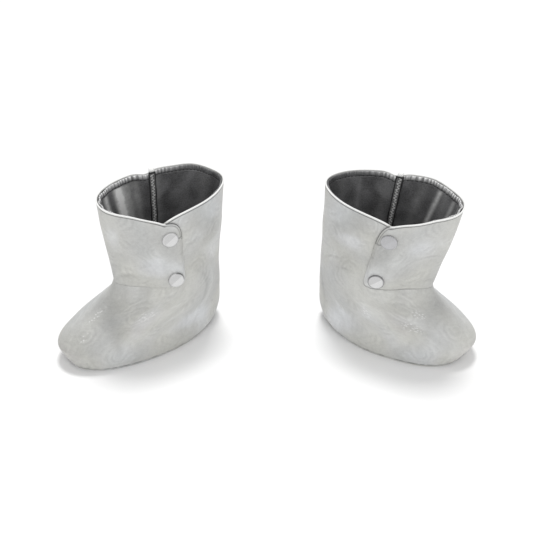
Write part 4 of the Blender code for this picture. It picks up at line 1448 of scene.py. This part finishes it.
def model_disc(name, radius, edge, steps):
    """A round piece on the floor of its own frame, whose top is shaped by insets."""
    deselect()
    bpy.ops.mesh.primitive_cylinder_add(vertices=STUD_SIDES, radius=radius * MM, depth=edge * MM,
                                        location=(0.0, 0.0, edge / 2 * MM))
    disc = bpy.context.object
    disc.name = name
    disc.data.name = name
    bpy.ops.object.transform_apply(location=True, rotation=False, scale=False)
    bpy.ops.object.mode_set(mode="EDIT")
    bpy.ops.mesh.select_mode(type="FACE")
    bpy.ops.mesh.select_all(action="DESELECT")
    shape = bmesh.from_edit_mesh(disc.data)
    for face in shape.faces:
        face.select_set(face.normal.z > FACES_UP)
    bmesh.update_edit_mesh(disc.data)
    for step in steps:
        bpy.ops.mesh.inset(thickness=step.inset * MM, depth=step.rise * MM)
    bpy.ops.object.mode_set(mode="OBJECT")
    bevel = disc.modifiers.new("soft_edge", "BEVEL")
    bevel.width = STUD_BEVEL * MM
    bevel.segments = STUD_BEVEL_STEPS
    bevel.limit_method = "ANGLE"
    bevel.angle_limit = math.radians(STUD_BEVEL_ANGLE)
    bpy.ops.object.modifier_apply(modifier=bevel.name)
    bpy.ops.object.mode_set(mode="EDIT")
    bpy.ops.mesh.select_all(action="SELECT")
    bpy.ops.mesh.remove_doubles(threshold=STUD_MERGE * MM)
    bpy.ops.object.mode_set(mode="OBJECT")
    bpy.ops.object.shade_smooth()
    return disc


def lay(disc, cover, seat, out, facing, rings=()):
    """Lays a round piece on the cover, and marks its painted reflection, shadow lines and highlight."""
    place, across, up, outward = surface_frame(cover, seat.angle, seat.height, out)
    turn = math.radians(SHEEN_TURN)
    x, y, z = np.array([vertex.co for vertex in disc.data.vertices]).T / MM
    past_brim = np.hypot(x, y) - CAP_RADIUS
    way = np.degrees(np.arctan2(y, x))
    # Painted shadow arcs round the cap, and a painted shadow line round its foot
    dark = np.zeros(len(x))
    for ring in rings:
        off = np.abs(turn_from(way, ring.toward))
        dark = np.maximum(dark, ring.depth * ease((ring.spread - off) / CAP_SHADOW_RUN_OUT + 1.0))
    foot = CAP_FOOT_SHADOW_DARKNESS * bell(z, CAP_FOOT_SHADOW)
    marks = {
        "gleam": (x * math.sin(turn) - y * math.cos(turn)) / CAP_RADIUS,
        "skirt": np.maximum(dark * stroke(CAP_SHADOW_LINE, past_brim), foot),
        "brim": stroke(BRIM_HIGHLIGHT, past_brim),
    }
    add_marks(disc.data, marks)
    matrix = Matrix((across, up * facing, outward * facing)).transposed().to_4x4()
    matrix.translation = place
    disc.data.transform(matrix)


def make_snap(cover, word, seat, materials):
    """The cap on the flap, and the snap's own flat back inside the heel piece."""
    name = f"{cover.name}_{word}"
    cap = model_disc(f"{name}_cap", CAP_RADIUS, CAP_EDGE, CAP_STEPS)
    lay(cap, cover, seat, float(cover.lap(seat.angle)) + GAP / 2, 1.0, CAP_SHADOW_ARCS[name])
    plastic = "grey_stud" if name == "right_upper" else "stud"
    finished(cap, materials[plastic], "stud", f"{name}_snap")
    back = model_disc(f"{name}_back", BACK_RADIUS, BACK_EDGE, BACK_STEPS)
    lay(back, cover, seat, LINING_INSIDE - BACK_CLEARANCE, -1.0)
    finished(back, materials["stud"], "stud", f"{name}_snap_back")


def dress(cover, materials):
    """All pieces of one cover."""
    heel_satin, flap_satin = make_linings(cover, materials["satin"])
    pieces = {
        "foot_and_heel_plush": make_heel_piece(cover, materials["plush"]),
        "front_flap_plush": make_flap(cover, materials["plush"]),
        "foot_and_heel_satin": heel_satin,
        "front_flap_satin": flap_satin,
        "sole_plush": make_slab(cover, "sole_plush", 0.0, SOLE_WALL, 0.0, materials["plush"],
                                "plush", "sole"),
        "sole_satin": make_slab(cover, "sole_satin", SOLE_WALL + GAP, LINING_WALL,
                                LINING_INSIDE - 3 * GAP, materials["satin"], "satin",
                                "sole_lining"),
    }
    make_seam_band(cover, materials["seam_band"])
    make_seam_threads(cover, materials)
    make_hem_stitches(cover, materials["dark_thread"])
    make_snap(cover, "upper", cover.closure.upper_stud, materials)
    make_snap(cover, "lower", cover.closure.lower_stud, materials)


def add(tree, kind, inputs=None, **settings):
    """A node with its settings and inputs. An input is a socket to link or the value to set."""
    made = tree.nodes.new(kind)
    for word, value in settings.items():
        setattr(made, word, value)
    for socket, value in (inputs or {}).items():
        if isinstance(value, bpy.types.NodeSocket):
            tree.links.new(value, made.inputs[socket])
        else:
            made.inputs[socket].default_value = value
    return made


def sums(tree, operation, *values):
    """A Math node's result."""
    inputs = dict(enumerate(values))
    return add(tree, "ShaderNodeMath", inputs, operation=operation).outputs[0]


def times(tree, first, second):
    return sums(tree, "MULTIPLY", first, second)


def total(tree, start, shares, parts):
    """A start value with a share of each part added to it."""
    for word, share in shares.items():
        start = sums(tree, "MULTIPLY_ADD", parts[word], share, start)
    return start


def vectors(tree, operation, inputs):
    """A Vector Math node's result."""
    return add(tree, "ShaderNodeVectorMath", inputs, operation=operation).outputs["Vector"]


def remap(tree, value, reach):
    """A value taken smoothly from one range to another."""
    inputs = {"Value": value, "From Min": reach.low, "From Max": reach.high,
              "To Min": reach.to_low, "To Max": reach.to_high}
    made = add(tree, "ShaderNodeMapRange", inputs, interpolation_type="SMOOTHSTEP")
    return made.outputs["Result"]


def blend(tree, share, first, second, kind="MIX"):
    """Two colours mixed."""
    inputs = {0: share, 6: first, 7: second}
    return add(tree, "ShaderNodeMix", inputs, data_type="RGBA", blend_type=kind).outputs[2]


def grey(tree, light):
    inputs = {"Red": light, "Green": light, "Blue": light}
    return add(tree, "ShaderNodeCombineColor", inputs).outputs["Color"]


def shaded(tree, colour, light):
    """A colour made lighter or darker."""
    return blend(tree, 1.0, colour, grey(tree, light), "MULTIPLY")


def noise(tree, vector, grain):
    """The outputs of a noise with features of a grain's size."""
    inputs = {"Vector": vector, "Scale": 1.0 / grain.size, "Detail": grain.detail,
              "Roughness": grain.roughness}
    return add(tree, "ShaderNodeTexNoise", inputs).outputs


def mark(tree, word):
    """A value that the mesh carries at its points."""
    return add(tree, "ShaderNodeAttribute", attribute_name=word).outputs["Fac"]


def new_group(name, size, outputs):
    """A shader node group that lays a pattern on a vector, with its input and output sockets."""
    tree = bpy.data.node_groups.new(name, "ShaderNodeTree")
    tree.interface.new_socket("Vector", in_out="INPUT", socket_type="NodeSocketVector")
    socket = tree.interface.new_socket("Size", in_out="INPUT", socket_type="NodeSocketFloat")
    socket.default_value = size
    for word, kind in outputs:
        tree.interface.new_socket(word, in_out="OUTPUT", socket_type=kind)
    given = tree.nodes.new("NodeGroupInput").outputs
    return tree, given, tree.nodes.new("NodeGroupOutput").inputs


def placed(tree, group, vector, size):
    """The outputs of a node group laid on a vector, with its pattern's size in metres."""
    return add(tree, "ShaderNodeGroup", {"Vector": vector, "Size": size}, node_tree=group).outputs


def make_mottle_group():
    """Soft uneven patches and a faint drift of tint, as on every real surface."""
    tree, given, result = new_group(
        "mottle", PLUSH_CLOUD_SIZE, [("Value", "NodeSocketFloat"), ("Tint", "NodeSocketColor")])
    scale = sums(tree, "DIVIDE", 1.0, given["Size"])
    inputs = {"Vector": given["Vector"], "Scale": scale, **MOTTLE_PATCHES}
    patches = add(tree, "ShaderNodeTexNoise", inputs)
    inputs = {"Vector": given["Vector"], "Scale": times(tree, scale, HUE_SCALE), **MOTTLE_HUES}
    hues = add(tree, "ShaderNodeTexNoise", inputs, noise_dimensions="4D")
    ramp = add(tree, "ShaderNodeValToRGB", {"Fac": hues.outputs["Fac"]})
    elements = ramp.color_ramp.elements
    for place, _ in TINTS[2:]:
        elements.new(place)
    for element, (place, colour) in zip(elements, TINTS):
        element.position = place
        element.color = colour
    tree.links.new(patches.outputs["Fac"], result["Value"])
    tree.links.new(ramp.outputs["Color"], result["Tint"])
    return tree


def make_weave_group():
    """A fine plain weave: the height of threads that pass over and under each other."""
    tree, given, result = new_group("weave", SATIN_WEAVE, [("Height", "NodeSocketFloat")])
    scale = sums(tree, "DIVIDE", math.pi, given["Size"])
    scaled = vectors(tree, "SCALE", {0: given["Vector"], 3: scale})
    axes = add(tree, "ShaderNodeSeparateXYZ", {"Vector": scaled}).outputs
    over = times(tree, sums(tree, "SINE", axes["X"]), sums(tree, "SINE", axes["Y"]))
    tree.links.new(sums(tree, "MULTIPLY_ADD", over, 0.5, 0.5), result["Height"])
    return tree


def make_twist_group():
    """The slanting strands of a twisted thread. The map runs round the thread and along it."""
    tree, given, result = new_group("twist", TWIST_SIZE, [("Height", "NodeSocketFloat")])
    axes = add(tree, "ShaderNodeSeparateXYZ", {"Vector": given["Vector"]}).outputs
    slant = sums(tree, "ADD", axes["Y"], times(tree, axes["X"], TWIST_SLANT))
    turns = times(tree, sums(tree, "DIVIDE", slant, given["Size"]), 2 * math.pi)
    strands = sums(tree, "MULTIPLY_ADD", sums(tree, "SINE", turns), 0.5, 0.5)
    tree.links.new(strands, result["Height"])
    return tree


def new_material(name):
    material = bpy.data.materials.new(name)
    material.use_nodes = True
    tree = material.node_tree
    return material, tree, tree.nodes["Principled BSDF"]


def set_shader(tree, shader, colour, roughness, constants):
    """Gives a shader its colour, its roughness and its constants."""
    tree.links.new(colour, shader.inputs["Base Color"])
    tree.links.new(roughness, shader.inputs["Roughness"])
    for word, value in constants.items():
        shader.inputs[word].default_value = value


def cloth_map(tree):
    return add(tree, "ShaderNodeUVMap", uv_map="cloth").outputs["UV"]


def bump(tree, height, distance, shader):
    """Relief on a shader: height from 0 to 1, and its full depth in metres."""
    made = add(tree, "ShaderNodeBump", {"Height": height, "Distance": distance, "Strength": 1.0})
    tree.links.new(made.outputs["Normal"], shader.inputs["Normal"])


def add_swirls(tree, vector):
    """The nap's swirls: arcs from -1 to 1 that wind out of each centre, and the nap's painted sheen."""
    drift = noise(tree, vector, SWIRL_DRIFT)["Color"]
    drift = vectors(tree, "SUBTRACT", {0: drift, 1: (0.5, 0.5, 0.5)})
    drift = vectors(tree, "SCALE", {0: drift, 3: SWIRL_WARP})
    warped = vectors(tree, "ADD", {0: vector, 1: drift})
    where = {"Vector": warped, "Scale": 1 / SWIRL_PITCH, "Randomness": SWIRL_SPREAD}
    cells, borders = [add(tree, "ShaderNodeTexVoronoi", where, voronoi_dimensions="2D",
                          feature=feature).outputs for feature in ("F1", "DISTANCE_TO_EDGE")]
    offset = vectors(tree, "SUBTRACT", {0: warped, 1: cells["Position"]})
    axes = add(tree, "ShaderNodeSeparateXYZ", {"Vector": offset}).outputs
    squares = [times(tree, axes[word], axes[word]) for word in ("X", "Y")]
    reach = sums(tree, "SQRT", sums(tree, "ADD", *squares))
    own = add(tree, "ShaderNodeSeparateColor", {"Color": cells["Color"]}).outputs
    hand = sums(tree, "SIGN", sums(tree, "SUBTRACT", own["Red"], LEFT_HANDED))
    winding = times(tree, sums(tree, "ARCTAN2", axes["Y"], axes["X"]), hand)
    arcs = sums(tree, "MULTIPLY_ADD", reach, 2 * math.pi / SWIRL_ARC, winding)
    arcs = sums(tree, "MULTIPLY_ADD", own["Green"], ARC_START, arcs)
    arcs = sums(tree, "MULTIPLY_ADD", noise(tree, vector, ARC_DRIFT)["Fac"], ARC_WANDER, arcs)
    lies = sums(tree, "COSINE", sums(tree, "MULTIPLY_ADD", own["Blue"], NAP_SHEEN_START, winding))
    inside = times(tree, remap(tree, borders["Distance"], SWIRL_BORDER),
                   remap(tree, reach, SWIRL_MIDDLE))
    return times(tree, sums(tree, "SINE", arcs), inside), times(tree, lies, inside)


def plush_painted_shade(tree, cloth):
    """Painted shade along the plush's grooves and edges, and in dashes where it meets the sole."""
    dashes = remap(tree, noise(tree, cloth, DASH_SIZE)["Fac"], DASHES)
    line = times(tree, mark(tree, "line"), SHADE_LINE_SHARE)
    # Painted shade line over the sole, broken into dashes
    sole_shade = times(tree, times(tree, mark(tree, "hem"), dashes), SOLE_SHADE_SHARE)
    return sums(tree, "MAXIMUM", line, sole_shade)


def make_plush(groups):
    """Short pale plush with swirled nap, a painted highlight on its bead and painted shade at its
    edges.
    """
    material, tree, shader = new_material("plush_cloth")
    cloth = cloth_map(tree)
    swirls, lies = add_swirls(tree, cloth)
    mottle = placed(tree, groups["mottle"], cloth, PLUSH_CLOUD_SIZE)
    seen = remap(tree, noise(tree, cloth, SEEN_SIZE)["Fac"], SWIRLS_SEEN)
    parts = {
        "swirl": times(tree, swirls, seen),
        # Painted sheen of the nap: one side of each swirl lighter
        "painted_nap_sheen": lies,
        "cloud": remap(tree, mottle["Value"], PLUSH_CLOUDS),
        # Nap patches; the wide dark ones over the toe and the shaft's front are painted shade
        "nap_tone_and_painted_shade": mark(tree, "nap_tone_and_painted_shade"),
        "pile": noise(tree, cloth, PILE)["Fac"],
        "tuft": noise(tree, cloth, TUFTS)["Fac"],
        # Crease depth: painted shade in the creases, painted highlight on the low ridges
        "crease": mark(tree, "crease"),
    }
    blue = sums(tree, "MULTIPLY_ADD", parts["cloud"], BLUE_CLOUDS, parts["nap_tone_and_painted_shade"])
    colour = blend(tree, remap(tree, blue, BLUES), PLUSH_COLOUR, CLOUD_COLOUR)
    colour = shaded(tree, colour, total(tree, PLUSH_TONE, PLUSH_TONES, parts))
    colour = blend(tree, TINT_SHARE, colour, mottle["Tint"], "MULTIPLY")
    # Painted glints: bright dots in the given clusters
    dots = add(tree, "ShaderNodeTexVoronoi", {"Vector": cloth, "Scale": 1 / DOT_SIZE},
               voronoi_dimensions="2D")
    glints = times(tree, remap(tree, dots.outputs["Distance"], DOTS),
                   remap(tree, mark(tree, "glint"), DOT_CLUSTERS))
    colour = blend(tree, glints, colour, GLINT_COLOUR)
    # Painted highlight on the rim's bead, then the painted shade lines
    colour = blend(tree, times(tree, mark(tree, "rim"), RIM_HIGHLIGHT_SHARE), colour, RIM_HIGHLIGHT_COLOUR)
    colour = blend(tree, plush_painted_shade(tree, cloth), colour, PAINTED_SHADE_COLOUR)
    set_shader(tree, shader, colour, remap(tree, parts["tuft"], PLUSH_ROUGHNESS), PLUSH_FINISH)
    bump(tree, total(tree, 0.0, PLUSH_RELIEFS, parts), PLUSH_RELIEF, shader)
    return material


def make_satin(groups):
    """Dark lining with the broken, painted shine of satin, and a painted highlight on its puckered hem.
    """
    material, tree, shader = new_material("satin_lining")
    cloth = cloth_map(tree)
    mottle = placed(tree, groups["mottle"], cloth, SATIN_CLOUD_SIZE)
    grain = noise(tree, cloth, SATIN_GRAIN)["Fac"]
    parts = {
        "grain": remap(tree, grain, GRAIN_SEEN),
        "cloud": remap(tree, mottle["Value"], SATIN_CLOUDS),
        "tuft": mark(tree, "tuft"),
    }
    colour = shaded(tree, SATIN_COLOUR, total(tree, SATIN_TONE, SATIN_TONES, parts))
    # Painted sheen on the folds, broken up
    broken = remap(tree, noise(tree, cloth, SHINE_SIZE)["Fac"], SHINE)
    colour = blend(tree, times(tree, mark(tree, "fold"), broken), colour, SATIN_SHEEN_COLOUR)
    # Painted highlight on the tops of the hem's puckers
    pale = times(tree, mark(tree, "hem"), remap(tree, mark(tree, "rib"), RIB_TOPS))
    colour = blend(tree, pale, colour, HEM_HIGHLIGHT_COLOUR)
    line = times(tree, mark(tree, "line"), STITCH_LINE_SHARE)
    colour = blend(tree, line, colour, STITCH_COLOUR)
    set_shader(tree, shader, colour, remap(tree, grain, SATIN_ROUGHNESS), SATIN_FINISH)
    weave = placed(tree, groups["weave"], cloth, SATIN_WEAVE)["Height"]
    height = total(tree, 0.0, SATIN_RELIEFS, {"grain": grain, "weave": weave})
    bump(tree, height, SATIN_RELIEF, shader)
    return material


def make_seam_band_cloth(groups):
    """Overlocked allowance: grey thread bars across it, a tip in painted highlight and slit in painted
    shade.
    """
    material, tree, shader = new_material("seam_band_threads")
    cloth = cloth_map(tree)
    parts = {
        "bar": placed(tree, groups["twist"], cloth, BAND_BARS)["Height"],
        "weave": placed(tree, groups["weave"], cloth, BAND_WEAVE)["Height"],
        "mottle": placed(tree, groups["mottle"], cloth, BAND_MOTTLE)["Value"],
    }
    colour = shaded(tree, BAND_COLOUR, total(tree, BAND_TONE, BAND_TONES, parts))
    # The tip in the rim's painted highlight colour, and painted shade in the slit
    colour = blend(tree, mark(tree, "tip"), colour, RIM_HIGHLIGHT_COLOUR)
    colour = blend(tree, mark(tree, "line"), colour, STITCH_COLOUR)
    set_shader(tree, shader, colour, remap(tree, parts["weave"], BAND_ROUGHNESS), {})
    bump(tree, total(tree, 0.0, BAND_RELIEFS, parts), BAND_RELIEF, shader)
    return material


def make_thread(name, colour, groups):
    """Twisted sewing thread."""
    material, tree, shader = new_material(name)
    twist = placed(tree, groups["twist"], cloth_map(tree), TWIST_SIZE)["Height"]
    colour = shaded(tree, colour, remap(tree, twist, TWIST_TONES))
    set_shader(tree, shader, colour, remap(tree, twist, TWIST_ROUGHNESS), {})
    bump(tree, twist, TWIST_RELIEF, shader)
    return material


def make_stud_plastic(name, plastic, groups):
    """Moulded snap plastic, painted reflection, highlight and shadow lines, and faint scuffs."""
    material, tree, shader = new_material(name)
    place = add(tree, "ShaderNodeTexCoord").outputs["Object"]
    parts = {"mottle": placed(tree, groups["mottle"], place, STUD_MOTTLE)["Value"]}
    scuffs = noise(tree, place, SCUFFS)["Fac"]
    # Painted reflection: one slanting half of the cap lighter than the other
    side = remap(tree, mark(tree, "gleam"), SHEEN_SIDES)
    colour = blend(tree, side, plastic.colour, plastic.gleam_colour)
    colour = shaded(tree, colour, total(tree, STUD_TONE, STUD_TONES, parts))
    # Painted highlight ring inside the brim
    brim = times(tree, mark(tree, "brim"), BRIM_HIGHLIGHT_SHARE)
    colour = blend(tree, brim, colour, plastic.gleam_colour)
    # Painted shadow lines round the cap and its foot
    skirt = times(tree, mark(tree, "skirt"), plastic.skirt)
    colour = blend(tree, skirt, colour, PAINTED_SHADE_COLOUR)
    set_shader(tree, shader, colour, remap(tree, scuffs, STUD_ROUGHNESS), STUD_FINISH)
    bump(tree, scuffs, STUD_RELIEF, shader)
    return material


def make_materials():
    groups = {
        "mottle": make_mottle_group(),
        "weave": make_weave_group(),
        "twist": make_twist_group(),
    }
    return {
        "plush": make_plush(groups),
        "satin": make_satin(groups),
        "seam_band": make_seam_band_cloth(groups),
        "light_thread": make_thread("light_thread", LIGHT_THREAD_COLOUR, groups),
        "dark_thread": make_thread("dark_thread", DARK_THREAD_COLOUR, groups),
        "stud": make_stud_plastic("stud_plastic", STUD_PLASTIC, groups),
        "grey_stud": make_stud_plastic("grey_stud_plastic", GREY_STUD_PLASTIC, groups),
    }


def make_camera():
    tilt = math.radians(CAMERA_ELEVATION)
    forward = Vector((0.0, math.cos(tilt), -math.sin(tilt)))
    place = (Vector(CAMERA_TARGET) - forward * CAMERA_DISTANCE) * MM
    deselect()
    bpy.ops.object.camera_add(location=place, rotation=(math.radians(90.0) - tilt, 0.0, 0.0))
    camera = bpy.context.object
    camera.data.lens = CAMERA_LENS
    camera.data.sensor_width = SENSOR
    camera.data.clip_start = CAMERA_NEAR
    camera.data.clip_end = CAMERA_FAR
    bpy.context.scene.camera = camera


def make_floor():
    deselect()
    bpy.ops.mesh.primitive_plane_add(size=2 * FLOOR_HALF, location=(0.0, 0.0, 0.0))
    floor = bpy.context.object
    floor.name = "floor"
    material, tree, shader = new_material("pale_floor")
    place = add(tree, "ShaderNodeTexCoord").outputs["Object"]
    shade = remap(tree, noise(tree, place, FLOOR_GRAIN)["Fac"], FLOOR_TONES)
    tree.links.new(grey(tree, shade), shader.inputs["Base Color"])
    for word, value in FLOOR_FINISH.items():
        shader.inputs[word].default_value = value
    floor.data.materials.append(material)


def make_studio():
    """A plain pale floor, a pale surround and large soft lights."""
    make_floor()
    world = bpy.data.worlds.new("studio_surround")
    world.use_nodes = True
    surround = world.node_tree.nodes["Background"]
    surround.inputs["Color"].default_value = SURROUND_COLOUR
    surround.inputs["Strength"].default_value = SURROUND_STRENGTH
    bpy.context.scene.world = world
    bpy.context.scene.view_settings.view_transform = "Standard"
    for lamp in LAMPS:
        deselect()
        bpy.ops.object.light_add(type="AREA", location=lamp.place)
        light = bpy.context.object
        light.name = lamp.name
        light.data.size = lamp.size
        light.data.energy = lamp.power
        towards = Vector(AIM) - Vector(lamp.place)
        light.rotation_euler = towards.to_track_quat("-Z", "Y").to_euler()


def main():
    make_camera()
    materials = make_materials()
    for name in POSES:
        dress(Cover(name), materials)
    make_studio()


main()
